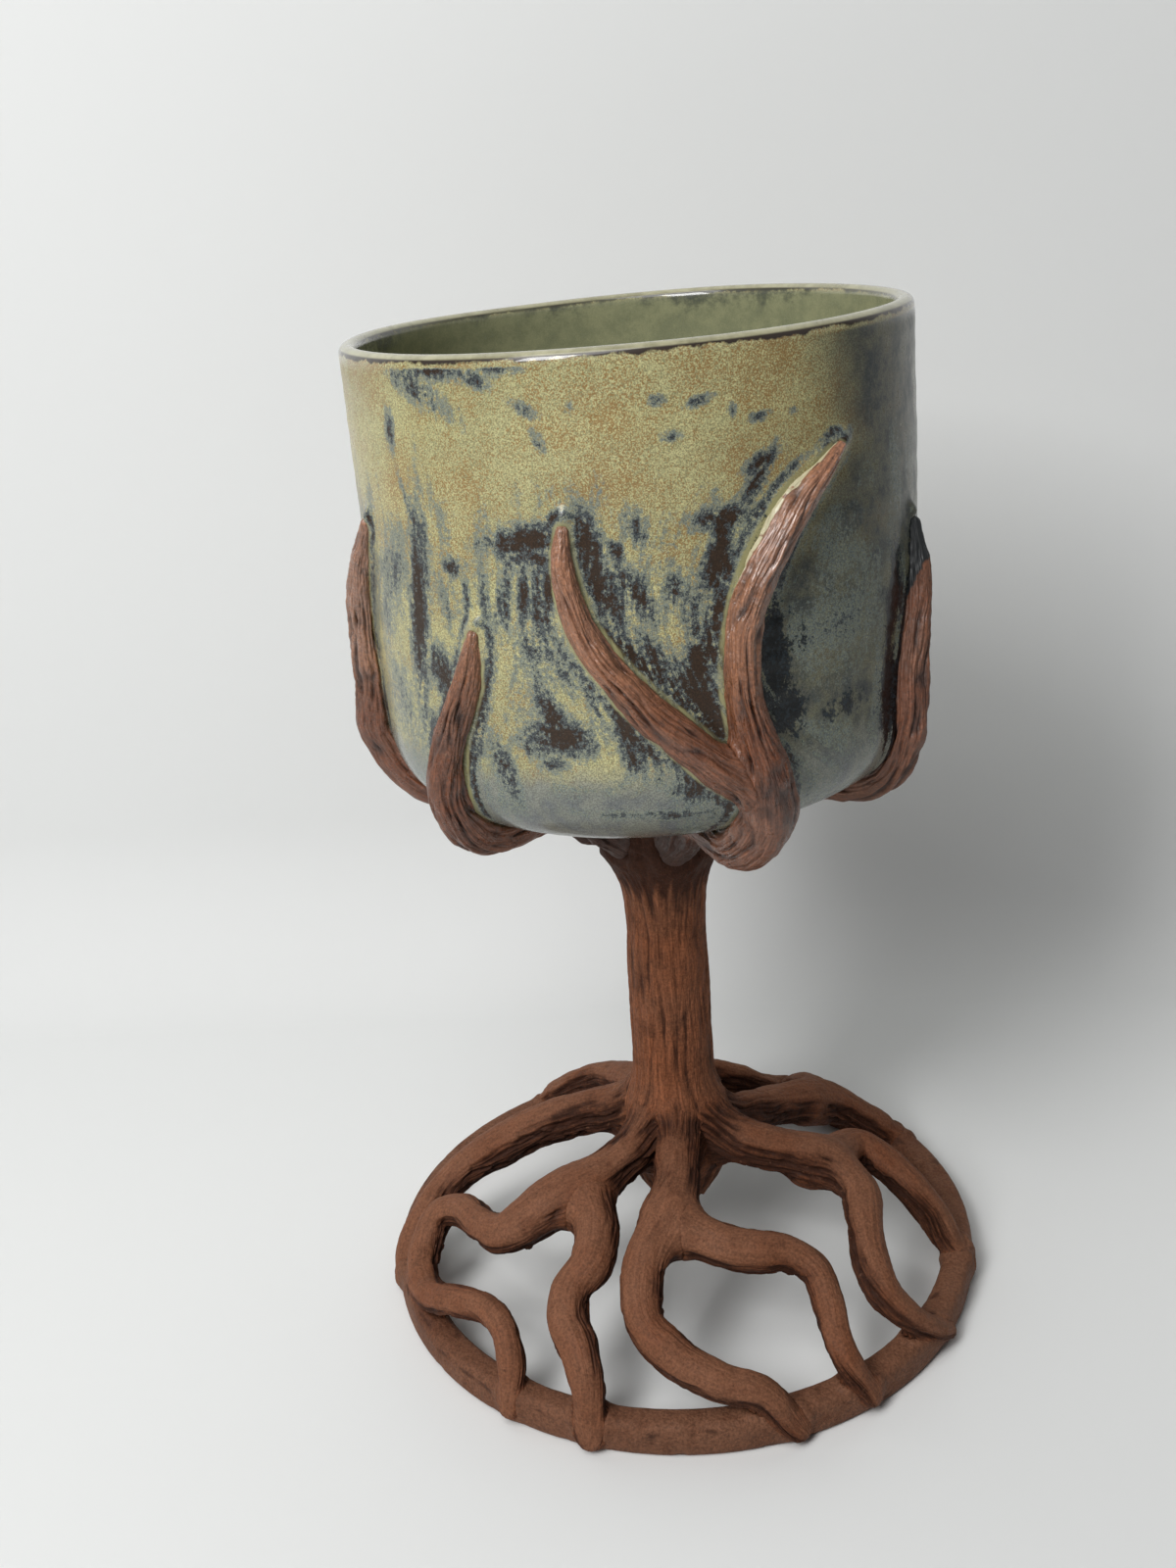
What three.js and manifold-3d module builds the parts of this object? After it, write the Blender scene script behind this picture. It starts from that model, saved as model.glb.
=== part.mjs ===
import * as THREE from 'three';
import { mergeVertices } from 'three/addons/utils/BufferGeometryUtils.js';
import Module from 'manifold-3d';

// Chalice with a tree for a stem. Millimetres, +Z up, origin on the table under the trunk.
// Azimuth 0 looks along -Y, the front, and grows towards +X.

// Foot ring
const RING_RADIUS = 56.5;
const RING_WIDTH = 5.5;
const RING_HEIGHT = 6.5;
const RING_ROUND = 1.8;

// Cup, leaning to the left about the middle of its bottom
const CUP_BASE = 104.5;
const CUP_HEIGHT = 75.5;
const CUP_RADIUS = 45.5;
const CUP_WALL = 3;
const CUP_FLOOR = 4;
const CUP_CORNER = 13;
const CUP_LEAN = THREE.MathUtils.degToRad(1.2);

// Roots arch from the trunk to the ring: their middle falls from the crest to the ring's top edge
const ROOT_CREST = 29;
const ROOT_THICKNESS = 9.5;
const LANDING_SINK = 0.5;
const ARCH_SPREAD = 2.4;
const ARCH_ROUND = 0.8;

// Trunk outline from the hub between the roots to the head under the cup: share of the radius, of the height
const TRUNK_RADIUS = 7.5;
const HUB_DEPTH = 15;
const HUB_SOLE = 8;
const TRUNK_OUTLINE = [
  [1.53, 0.08], [1.39, 0.13], [1.09, 0.24], [1, 0.49], [1.05, 0.74], [1.47, 0.87], [1.73, 0.997],
];

// Branches start inside the trunk's fork and leave it below the cup, then lie on the cup with their middle
// outside its skin by a share of their half thickness
const BRANCH_THICKNESS = 9;
const BRANCH_PROUD = 0.45;
const FORK_RADIUS = 4;
const FORK_DROP = 16;
const LEAVE_RADIUS = 13;
const LEAVE_DROP = 9.5;

// Every piece is luted on with a thin seam of slip
const SEAM = 0.3;

const TABLE_WIDTH = RING_RADIUS * 4;

// Fineness of the round shapes
const RING_SEGMENTS = 64;
const CUP_SEGMENTS = 56;
const TRUNK_SEGMENTS = 24;
const TRUNK_STEPS = 14;
const CORNER_STEPS = 5;
const EDGE_STEPS = 3;
const LIMB_SIDES = 8;
const LIMB_STEP = 5;
const TIP_ROUND = [0.45, 0.8];

// Colours and roughness of the clay and the glaze
const CLAYS = {
  root: 0x8a5a48,
  branch: 0x9c6a55,
  trunk: 0x8f5d4a,
  foot_ring: 0x84543f,
};
const CLAY_ROUGHNESS = 0.75;
const GLAZE = 0x6f7048;
const GLAZE_ROUGHNESS = 0.2;

// Each root: azimuth in degrees, reach as a share of the ring's radius, thickness as a share of the
// thickest, lift off the arch as a share of the crest
const ROOTS = {
  root_front: [
    [0, 0.09, 1, 0.14], [-1, 0.22, 1, 0.03], [-3, 0.36, 0.97, 0], [-7, 0.5, 0.93, 0],
    [-11, 0.66, 0.86, 0], [-9, 0.79, 0.82, 0], [-3, 0.86, 0.78, 0], [5, 0.92, 0.69, 0],
    [13, 0.96, 0.63, 0], [18, 1, 0.53, -0.09],
  ],
  root_front_fork: [
    [-6, 0.45, 0.53, -0.05], [3, 0.51, 0.78, -0.01], [12, 0.58, 0.86, 0], [21, 0.62, 0.82, 0],
    [29, 0.66, 0.74, 0], [33, 0.73, 0.67, 0], [32, 0.81, 0.63, 0], [30, 0.89, 0.61, 0],
    [30, 0.95, 0.59, 0], [33, 1, 0.48, -0.07],
  ],
  root_left_front: [
    [-36, 0.09, 0.95, 0.14], [-39, 0.24, 0.97, 0.03], [-45, 0.37, 0.99, 0], [-50, 0.5, 1.07, 0],
    [-52, 0.61, 1.03, 0], [-56, 0.7, 0.84, 0], [-65, 0.73, 0.72, 0], [-74, 0.76, 0.72, 0],
    [-79, 0.83, 0.74, -0.02], [-77, 0.89, 0.72, -0.07], [-71, 0.93, 0.67, -0.09],
    [-62, 0.93, 0.65, -0.06], [-53, 0.9, 0.63, 0], [-45, 0.875, 0.61, 0], [-39, 0.9, 0.57, 0],
    [-35, 0.95, 0.53, -0.03], [-34, 1, 0.38, -0.09],
  ],
  root_left_fork: [
    [-48, 0.43, 0.53, -0.05], [-39, 0.47, 0.78, -0.01], [-30, 0.54, 0.88, 0], [-26, 0.65, 0.86, 0],
    [-28, 0.75, 0.84, 0], [-26, 0.82, 0.82, 0], [-22, 0.88, 0.78, 0], [-19, 0.94, 0.72, -0.01],
    [-18, 1, 0.53, -0.1],
  ],
  root_right_front: [
    [52, 0.09, 1, 0.14], [57, 0.22, 1.03, 0.03], [63, 0.34, 1.03, 0], [68, 0.46, 0.97, 0],
    [68, 0.56, 0.88, 0], [63, 0.65, 0.82, 0], [55, 0.71, 0.78, 0], [48, 0.79, 0.74, 0],
    [45, 0.87, 0.67, 0], [47, 0.94, 0.59, -0.02], [52, 0.98, 0.48, -0.07], [56, 1, 0.36, -0.09],
  ],
  root_right: [
    [68, 0.47, 0.53, -0.07], [79, 0.53, 0.74, -0.05], [88, 0.61, 0.82, -0.05],
    [85, 0.71, 0.82, -0.06], [81, 0.8, 0.78, -0.09], [79, 0.875, 0.72, -0.15],
    [77, 0.93, 0.65, -0.19], [76, 0.97, 0.53, -0.17],
  ],
  root_left: [
    [-118, 0.09, 1, 0.14], [-113, 0.22, 1.01, 0.03], [-105, 0.36, 1.01, 0],
    [-100, 0.51, 0.99, -0.02], [-97, 0.64, 0.93, -0.05], [-95, 0.75, 0.84, -0.07],
    [-92, 0.83, 0.78, -0.08], [-87, 0.9, 0.72, -0.1], [-83, 0.95, 0.65, -0.12],
    [-80.5, 0.985, 0.53, -0.16],
  ],
  root_back_left: [
    [-166, 0.09, 0.95, 0.1], [-166, 0.2, 0.97, -0.06], [-164, 0.38, 0.95, -0.14],
    [-161, 0.58, 0.91, -0.17], [-156, 0.73, 0.84, -0.17], [-151, 0.85, 0.76, -0.17],
    [-149, 0.93, 0.67, -0.16], [-148, 0.985, 0.53, -0.16],
  ],
  root_right_back: [
    [100, 0.09, 0.95, 0.07], [108, 0.18, 0.97, -0.05], [115, 0.28, 0.97, -0.1],
    [123, 0.46, 0.93, -0.14], [126, 0.65, 0.86, -0.16], [123, 0.8, 0.8, -0.19],
    [120.5, 0.91, 0.72, -0.21], [119, 0.97, 0.57, -0.17],
  ],
  root_back_fork: [
    [124, 0.57, 0.53, -0.17], [130, 0.69, 0.72, -0.19], [137, 0.79, 0.74, -0.19],
    [144, 0.865, 0.72, -0.17], [149.5, 0.93, 0.65, -0.19], [152, 0.975, 0.53, -0.17],
  ],
  root_back: [
    [147, 0.09, 0.95, 0.1], [156, 0.22, 0.97, -0.03], [168, 0.37, 0.95, -0.07],
    [178, 0.53, 0.91, -0.14], [180, 0.67, 0.84, -0.19], [175, 0.77, 0.78, -0.21],
    [168, 0.83, 0.74, -0.22], [161, 0.86, 0.69, -0.23], [155, 0.87, 0.59, -0.23],
  ],
};

// Forks grow out of the side of another root or branch, which is luted on first
const GROWS_FROM = {
  root_front_fork: 'root_front',
  root_left_fork: 'root_left_front',
  root_right: 'root_right_front',
  root_back_fork: 'root_right_back',
  branch_front_fork: 'branch_front',
};

// Each branch: azimuth in degrees, place on the cup's skin, thickness as a share of the thickest. Places
// 0 to 1 cross the flat bottom, 1 to 2 go round the corner and 2 to 3 climb the wall to the rim.
const BRANCHES = {
  branch_front: [
    [16, 0.7, 1], [19, 1.2, 1.07], [21, 1.7, 1.02], [19.5, 2.02, 0.87], [17.5, 2.13, 0.71],
    [16.5, 2.24, 0.64], [17.5, 2.35, 0.62], [20, 2.45, 0.64], [24, 2.54, 0.62], [29, 2.62, 0.56],
    [34, 2.67, 0.44], [39.5, 2.72, 0.22],
  ],
  branch_front_fork: [
    [19, 1.85, 0.67], [12, 2.02, 0.71], [6, 2.1, 0.69], [0, 2.18, 0.67], [-6, 2.275, 0.6],
    [-11, 2.38, 0.53], [-13, 2.48, 0.44], [-13.5, 2.55, 0.36], [-13, 2.61, 0.22],
  ],
  branch_left_front: [
    [-45, 0.72, 0.84], [-46, 1.35, 0.89], [-44, 1.85, 0.78], [-42, 2.06, 0.64], [-38.5, 2.16, 0.58],
    [-35, 2.26, 0.49], [-33, 2.36, 0.24],
  ],
  branch_left: [
    [-88, 0.72, 0.87], [-88, 1.35, 0.96], [-87, 1.85, 0.91], [-84, 2.1, 0.76], [-79, 2.3, 0.67],
    [-73, 2.45, 0.51], [-66, 2.58, 0.24],
  ],
  branch_right: [
    [61, 0.72, 0.73], [61, 1.4, 0.73], [59.5, 1.98, 0.67], [61, 2.14, 0.62], [64.5, 2.27, 0.58],
    [66.5, 2.37, 0.49], [67, 2.47, 0.24],
  ],
  branch_right_back: [
    [117, 0.72, 0.82], [119, 1.35, 0.84], [123, 1.95, 0.71], [128, 2.16, 0.64], [127, 2.32, 0.58],
    [121, 2.47, 0.47], [115, 2.58, 0.24],
  ],
  branch_back: [
    [172, 0.72, 0.87], [173, 1.35, 0.91], [171, 1.95, 0.78], [166, 2.16, 0.69], [164, 2.32, 0.64],
    [167, 2.47, 0.56], [174, 2.6, 0.42], [180, 2.69, 0.24],
  ],
  branch_left_back: [
    [-136, 0.72, 0.82], [-135, 1.35, 0.84], [-132, 1.95, 0.71], [-133, 2.14, 0.62],
    [-138, 2.28, 0.56], [-142, 2.4, 0.44], [-142, 2.5, 0.24],
  ],
};

const wasm = await Module();
wasm.setup();

// Closed body of a shape, ready to be cut back
function solid(geometry) {
  const bare = geometry.clone();
  bare.deleteAttribute('normal');
  bare.deleteAttribute('uv');
  const welded = mergeVertices(bare);
  return new wasm.Manifold(new wasm.Mesh({
    numProp: 3,
    vertProperties: new Float32Array(welded.attributes.position.array),
    triVerts: new Uint32Array(welded.index.array),
  }));
}

// A body turned about the Z axis from [radius, height] points that start and end on the axis
function turned(points, segments) {
  const profile = points.map(([radius, height]) => new THREE.Vector2(radius, height));
  return new THREE.LatheGeometry(profile, segments).rotateX(Math.PI / 2);
}

// Points of an arc from angle `from` to `to`
function arc(cx, cy, radius, from, to, steps) {
  return Array.from({ length: steps + 1 }, (_, i) => {
    const angle = from + (to - from) * i / steps;
    return [cx + radius * Math.cos(angle), cy + radius * Math.sin(angle)];
  });
}

// Where azimuth and radius put a point in plan
function plan(azimuth, radius, height) {
  const angle = THREE.MathUtils.degToRad(azimuth);
  return new THREE.Vector3(radius * Math.sin(angle), -radius * Math.cos(angle), height);
}

// The cup leans to the left about the centre of its bottom
function leaned(point) {
  const base = new THREE.Vector3(0, 0, CUP_BASE);
  return point.sub(base).applyAxisAngle(new THREE.Vector3(0, -1, 0), CUP_LEAN).add(base);
}

// Height of the middle of a root at a share of the ring's radius
function archHeight(reach) {
  const fall = Math.max(0, 1 - reach ** ARCH_SPREAD) ** ARCH_ROUND;
  const landing = RING_HEIGHT - LANDING_SINK;
  return landing + (ROOT_CREST - landing) * fall;
}

function rootStations(route) {
  return route.map(([azimuth, reach, thickness, lift]) => ({
    at: plan(azimuth, reach * RING_RADIUS, archHeight(reach) + lift * ROOT_CREST),
    radius: thickness * ROOT_THICKNESS / 2,
  }));
}

// A point of the cup's skin, pushed out by `out`
function onSkin(azimuth, place, out) {
  const flat = CUP_RADIUS - CUP_CORNER;
  if (place < 1) {
    return leaned(plan(azimuth, flat * place, CUP_BASE - out));
  }
  const angle = Math.min(place - 1, 1) * Math.PI / 2;
  const reach = CUP_CORNER + out;
  const climb = Math.max(place - 2, 0) * (CUP_HEIGHT - CUP_CORNER);
  const height = CUP_BASE + CUP_CORNER - reach * Math.cos(angle) + climb;
  return leaned(plan(azimuth, flat + reach * Math.sin(angle), height));
}

// Branches start in the trunk's fork, unless they grow out of another branch
function branchStations(route, parent) {
  const half = BRANCH_THICKNESS / 2;
  const [azimuth, , thickness] = route[0];
  const low = [[FORK_RADIUS, FORK_DROP], [LEAVE_RADIUS, LEAVE_DROP]].map(([radius, drop]) => ({
    at: plan(azimuth, radius, CUP_BASE - drop),
    radius: thickness * half,
  }));
  const high = route.map(([angle, place, thick]) => ({
    at: onSkin(angle, place, BRANCH_PROUD * thick * half),
    radius: thick * half,
  }));
  return parent ? high : [...low, ...high];
}

// A limb: a round coil that tapers along a smooth line through its stations, rounded at the far end
function limb(stations, grow) {
  const line = new THREE.CatmullRomCurve3(stations.map(({ at }) => at));
  const steps = Math.ceil(line.getLength() / LIMB_STEP);
  const thickness = new THREE.SplineCurve(stations.map(({ radius }, i) => new THREE.Vector2(i, radius)));
  const frames = line.computeFrenetFrames(steps, false);
  const radii = Array.from({ length: steps + 1 }, (_, i) => {
    const along = line.getUtoTmapping(i / steps);
    return thickness.getPoint(along).y + grow;
  });
  const rings = radii.map((radius, i) => ({ at: line.getPointAt(i / steps), frame: i, radius }));
  const last = rings[steps];
  const tip = TIP_ROUND.map((share) => ({
    at: last.at.clone().addScaledVector(frames.tangents[steps], last.radius * share),
    frame: steps,
    radius: last.radius * Math.sqrt(1 - share * share),
  }));
  const all = [...rings, ...tip];
  const positions = [];
  all.forEach(({ at, frame, radius }) => {
    for (let k = 0; k < LIMB_SIDES; k += 1) {
      const angle = k / LIMB_SIDES * Math.PI * 2;
      const corner = at.clone()
        .addScaledVector(frames.normals[frame], radius * Math.cos(angle))
        .addScaledVector(frames.binormals[frame], radius * Math.sin(angle));
      positions.push(...corner.toArray());
    }
  });
  const start = all.length * LIMB_SIDES;
  positions.push(...rings[0].at.toArray());
  positions.push(...last.at.clone().addScaledVector(frames.tangents[steps], last.radius).toArray());
  const index = [];
  for (let k = 0; k < LIMB_SIDES; k += 1) {
    const next = (k + 1) % LIMB_SIDES;
    for (let i = 0; i < all.length - 1; i += 1) {
      const a = i * LIMB_SIDES;
      const b = a + LIMB_SIDES;
      index.push(a + k, a + next, b + k);
      index.push(b + k, a + next, b + next);
    }
    const end = (all.length - 1) * LIMB_SIDES;
    index.push(start, next, k);
    index.push(start + 1, end + k, end + next);
  }
  const geometry = new THREE.BufferGeometry();
  geometry.setAttribute('position', new THREE.Float32BufferAttribute(positions, 3));
  geometry.setIndex(index);
  return geometry;
}

// Outside of the cup from the axis to the top of the bottom corner, thickened by `grow`
function cupOutside(grow) {
  const flat = CUP_RADIUS - CUP_CORNER;
  const corner = arc(flat, CUP_CORNER, CUP_CORNER + grow, -Math.PI / 2, 0, CORNER_STEPS);
  return [[0, -grow], ...corner];
}

function cupHollow() {
  const inner = CUP_RADIUS - CUP_WALL;
  const corner = CUP_CORNER - CUP_WALL;
  const half = CUP_WALL / 2;
  const lip = arc(inner + half, CUP_HEIGHT - half, half, 0, Math.PI, CORNER_STEPS);
  const inside = arc(inner - corner, CUP_FLOOR + corner, corner, 0, -Math.PI / 2, CORNER_STEPS);
  return [...cupOutside(0), ...lip, ...inside, [0, CUP_FLOOR]];
}

function cupFilled(grow) {
  return [...cupOutside(grow), [CUP_RADIUS + grow, CUP_HEIGHT], [0, CUP_HEIGHT]];
}

function cup(points) {
  return turned(points, CUP_SEGMENTS).rotateY(-CUP_LEAN).translate(0, 0, CUP_BASE);
}

function trunk(grow) {
  const bottom = ROOT_CREST - HUB_DEPTH;
  const top = CUP_BASE - SEAM;
  const side = new THREE.SplineCurve(TRUNK_OUTLINE.map(
    ([swell, share]) => new THREE.Vector2(swell * TRUNK_RADIUS, bottom + share * (top - bottom)),
  ));
  const bark = side.getPoints(TRUNK_STEPS).map(({ x, y }) => [x + grow, y]);
  const sole = [[0, bottom - grow], [HUB_SOLE + grow, bottom - grow]];
  return turned([...sole, ...bark, [0, top + grow]], TRUNK_SEGMENTS);
}

function ring(grow) {
  const inner = RING_RADIUS - RING_WIDTH;
  const crown = RING_HEIGHT - RING_ROUND;
  const round = RING_ROUND + grow;
  const outside = arc(RING_RADIUS - RING_ROUND, crown, round, 0, Math.PI / 2, EDGE_STEPS);
  const inside = arc(inner + RING_ROUND, crown, round, Math.PI / 2, Math.PI, EDGE_STEPS);
  const sole = [[inner + RING_ROUND / 2, -grow], [RING_RADIUS - RING_ROUND / 2, -grow]];
  return turned([...sole, ...outside, ...inside, sole[0]], RING_SEGMENTS);
}

// The table keeps the root ends off the ground, so that only the ring stands on it
function table(grow) {
  const slab = new THREE.BoxGeometry(TABLE_WIDTH, TABLE_WIDTH, TABLE_WIDTH);
  return slab.translate(0, 0, grow - TABLE_WIDTH / 2);
}

// Pieces in the order they are luted on: a later piece is cut back by the seam from earlier ones
const pieces = {};
const grown = {
  cup: solid(cup(cupFilled(SEAM))),
  table: solid(table(SEAM)),
};

// The biggest body that is left: slivers that neighbours cut off are trimmed away
function cutBack(whole, neighbours) {
  const rest = neighbours.reduce((left, other) => left.subtract(grown[other]), whole);
  return rest.decompose().reduce((best, part) => (part.volume() > best.volume() ? part : best));
}

function lute(name, build, neighbours) {
  pieces[name] = cutBack(solid(build(0)), neighbours);
  grown[name] = solid(build(SEAM));
}

function luteLimbs(routes, stations, fixed) {
  const names = Object.keys(routes);
  const mains = names.filter((name) => !GROWS_FROM[name]);
  const forks = names.filter((name) => GROWS_FROM[name]);
  [...mains, ...forks].forEach((name, i, order) => {
    const build = (grow) => limb(stations(routes[name], GROWS_FROM[name]), grow);
    lute(name, build, [...fixed, ...order.slice(0, i)]);
  });
}

pieces.cup = solid(cup(cupHollow()));
lute('foot_ring', ring, []);
lute('trunk', trunk, ['cup']);
luteLimbs(ROOTS, rootStations, ['trunk', 'foot_ring', 'table']);
luteLimbs(BRANCHES, branchStations, ['cup', 'trunk']);

function finish(name) {
  const kind = Object.keys(CLAYS).find((key) => name.startsWith(key));
  const clay = { color: CLAYS[kind], roughness: CLAY_ROUGHNESS, metalness: 0 };
  const glaze = { color: GLAZE, roughness: GLAZE_ROUGHNESS, metalness: 0 };
  return new THREE.MeshStandardMaterial(kind ? clay : glaze);
}

function mesh(name) {
  const { vertProperties, triVerts } = pieces[name].getMesh();
  const geometry = new THREE.BufferGeometry();
  geometry.setAttribute('position', new THREE.Float32BufferAttribute(vertProperties, 3));
  geometry.setIndex(new THREE.Uint32BufferAttribute(triVerts, 1));
  geometry.computeVertexNormals();
  const made = new THREE.Mesh(geometry, finish(name));
  made.name = name;
  return made;
}

const chalice = new THREE.Group();
chalice.name = 'chalice';
chalice.add(...Object.keys(pieces).map(mesh));

export default chalice;
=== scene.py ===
import bpy
import numpy as np
from bpy.props import FloatProperty, FloatVectorProperty, PointerProperty
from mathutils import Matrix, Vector


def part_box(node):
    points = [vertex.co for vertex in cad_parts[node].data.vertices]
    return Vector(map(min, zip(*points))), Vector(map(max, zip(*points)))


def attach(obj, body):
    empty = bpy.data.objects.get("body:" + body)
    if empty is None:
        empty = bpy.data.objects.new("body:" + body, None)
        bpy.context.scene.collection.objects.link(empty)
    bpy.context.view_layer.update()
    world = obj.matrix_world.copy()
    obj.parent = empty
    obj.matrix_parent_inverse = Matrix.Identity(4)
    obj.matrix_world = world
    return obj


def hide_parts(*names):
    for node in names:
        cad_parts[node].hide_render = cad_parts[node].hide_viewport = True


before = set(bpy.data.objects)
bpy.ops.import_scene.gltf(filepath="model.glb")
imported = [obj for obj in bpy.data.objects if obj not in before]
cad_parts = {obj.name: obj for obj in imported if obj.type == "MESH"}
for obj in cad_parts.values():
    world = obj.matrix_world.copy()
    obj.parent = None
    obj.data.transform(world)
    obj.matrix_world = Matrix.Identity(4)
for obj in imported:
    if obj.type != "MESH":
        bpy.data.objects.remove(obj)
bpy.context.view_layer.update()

bl_info = {
    "name": "Tree chalice",
    "version": (1, 0, 0),
    "blender": (4, 5, 0),
    "location": "View3D > Sidebar > Chalice",
    "description": "A glazed cup in the branches of a clay tree whose roots wind down to a foot ring",
    "category": "Add Mesh",
}

# Lengths are in metres, +Z up, origin on the table under the trunk. Azimuth 0 is the front, -Y, and grows
# towards +X.
MM = 0.001
TURN = 2 * np.pi


def corners(node):
    """Lowest and highest corner of a solid as arrays."""
    low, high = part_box(node)
    return np.array(low), np.array(high)


# Sizes read from the solids in model.glb, with the wall, corner, lean and seam that the solids have
SEAM = 0.3 * MM
RING_LOW, RING_HIGH = corners("foot_ring")
RING_RADIUS = (RING_HIGH[0] - RING_LOW[0]) / 2
RING_HEIGHT = RING_HIGH[2]
TRUNK_LOW, TRUNK_HIGH = corners("trunk")
TRUNK_FOOT = TRUNK_LOW[2]
CUP_BASE = TRUNK_HIGH[2] + SEAM
CUP_LOW, CUP_HIGH = corners("cup")
CUP_RADIUS = (CUP_HIGH[1] - CUP_LOW[1]) / 2
CUP_WALL = 3 * MM
CUP_FLOOR = 4 * MM
CUP_CORNER = 13 * MM
CUP_LEAN = np.radians(1.2)
LIP_ROUND = CUP_WALL / 2
CUP_HEIGHT = LIP_ROUND + (
    CUP_HIGH[2] - CUP_BASE - LIP_ROUND - (CUP_RADIUS - LIP_ROUND) * np.sin(CUP_LEAN)
) / np.cos(CUP_LEAN)
CUP_FLAT = CUP_RADIUS - CUP_CORNER
WALL_CLIMB = CUP_HEIGHT - CUP_CORNER

# The same routes as the solids: roots arch from the trunk to the ring
ROOT_CREST = 29 * MM
LANDING_SINK = 0.5 * MM
ARCH_SPREAD = 2.4
ARCH_ROUND = 0.8
RING_WIDTH = 5.5 * MM
RING_ROUND = 1.8 * MM

# The ring's skin: power that makes its section square, how far the section sinks below the table before it
# is cut flat, and how much its width and radius waver
RING_SQUARE = 0.55
RING_SINK = 0.3 * MM
RING_SWELL = 0.06 * MM
RING_SWAY = 0.1 * MM

# Pieces further apart than this don't shape each other
FAR_OFF = 20 * MM

# Fillets of the luting as shares of the fillet that a user sets
ROOT_FILLET = 1.1
BRANCH_FILLET = 0.5
TRUNK_FILLET = 1.2
LANDING_FILLET = 0.4
RING_FILLET = 0.5

# Rounds that settle the luting, share of an overlap that dives under, and shares of the fillet's width over
# which a buried skin fades out and a joint shows
LUTING_ROUNDS = 6
LUTING_DIVE = 0.6
LUTING_FADE = 0.4
LUTING_JOINT = 0.3

# Steps along the middle lines, of which gaps are read at every third station
ROOT_STEP = 0.42 * MM
BRANCH_STEP = 0.4 * MM
TRUNK_STEP = 0.32 * MM
SPARSE = 3

# Points worked out in each span of a line, and rows in a round tip: the fewest, and how many for each step
# that fits into its radius
SPAN_POINTS = 24
TIP_ROWS = 5
TIP_FINENESS = 1.5

# Grain and glaze are drawn out along a piece: share of the real length that their patterns see
GRAIN_SHARE = 0.1
FLOW_SHARE = 0.16

# Points round each section
ROOT_COLUMNS = 200
BRANCH_COLUMNS = 176
TRUNK_COLUMNS = 256
CUP_COLUMNS = 480
RING_COLUMNS = 44

# Rows round the ring and in each stretch of the cup's outline, which starts and ends close to the middle
RING_ROWS = 720
CUP_MIDDLE = 2 * MM
FLAT_ROWS = 6
CORNER_ROWS = 24
WALL_ROWS = 124
LIP_ROWS = 12
INNER_WALL_ROWS = 24
INNER_CORNER_ROWS = 9

# Seeds of the random draws; each root and branch adds its own number
RING_SEED = 3
TRUNK_SEED = 5
CUP_SEED = 11
ROOT_SEED = 20
BRANCH_SEED = 50

# Three widths of bark: multiple of a coil's ridges and a few more, power that rounds the ridges, the random
# values between which a valley opens, depth
BARK_WIDTHS = [
    (1, 0, 0.85, -0.4, 0.2, 0.6),
    (2, 1, 0.9, -0.4, 0.3, 0.36),
    (4, 3, 0.9, -0.35, 0.3, 0.26),
]

# Ridges of bark round each kind of limb, and the length in mm over which they sway
ROOT_BARK = (11, 18)
BRANCH_BARK = (6, 14)
TRUNK_BARK = (13, 24)

# Torn edges of a root: share of a turn from its top, and how far they waver
HIGH_TEAR = (0.2, 0.07)
LOW_TEAR = (0.31, 0.05)

# A root flattens by a share over its last few mm, keeps clear of the table, and is calm close to its forks
TIP_FLATTEN = 0.45
TIP_LENGTH = 9
TIP_END = 1
ROOT_CLEAR = 0.1 * MM
FORK_CALM = 3.5 * MM

# Trunk outline: share of its radius, share of its height
TRUNK_RADIUS = 7.5 * MM
TRUNK_OUTLINE = [
    (0.75, 0), (1.2, 0.07), (1.3, 0.13), (1.09, 0.24), (1, 0.49), (1.05, 0.74), (1.47, 0.87), (1.73, 1),
]

# Branches leave the trunk's fork by two stations: radius, drop below the cup, and the way their top side
# faces, outwards and upwards. Then they lie on the cup's skin, standing out by a share of their thickness.
FORK_STATIONS = [(4 * MM, 16 * MM, 0.6, -0.5), (13 * MM, 9.5 * MM, 0.35, -0.9)]
BRANCH_PROUD = 0.45

# Heights between which painted shade darkens the fork below the cup
FORK_LOW = 75 * MM
FORK_HIGH = 90 * MM

# Heights between which nicks set in on the trunk
NICKS_LOW = 80 * MM
NICKS_HIGH = 92 * MM

# Heights between which painted shade darkens the trunk's foot where the roots join, going down
FOOT_HIGH = 42 * MM
FOOT_LOW = 20 * MM

# Height of the trunk's smooth waist, and distances from it between which bark sets in
WAIST = 62 * MM
WAIST_PLAIN = 18 * MM
WAIST_END = 34 * MM

# Distances from the middle between which a branch's clay turns bare
BARE_OUTER = 26 * MM
BARE_INNER = 15 * MM

# Bead of glaze along the branches and drops past their tips: widths in mm, height of a drop in beads, and
# how far past the tip it sits, as a share of the last three stations
BEAD_WIDTH = 1.1
DROP_WIDTH = 1.3
DROP_HEIGHT = 2.2
DROP_REACH = 0.6

# Angle in degrees over which a branch bends the run of the glaze
LANE_WIDTH = 16

# The cooler side is partly grey-green glaze and partly painted shade where the cup turns from the key lamp
# Edge of the cup's cooler side: share of the way up the wall, azimuth in degrees
COOL_AND_SHADE_EDGE = [(0, 17), (0.45, 20), (0.72, 38), (0.8, 35), (1, 30)]

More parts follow.
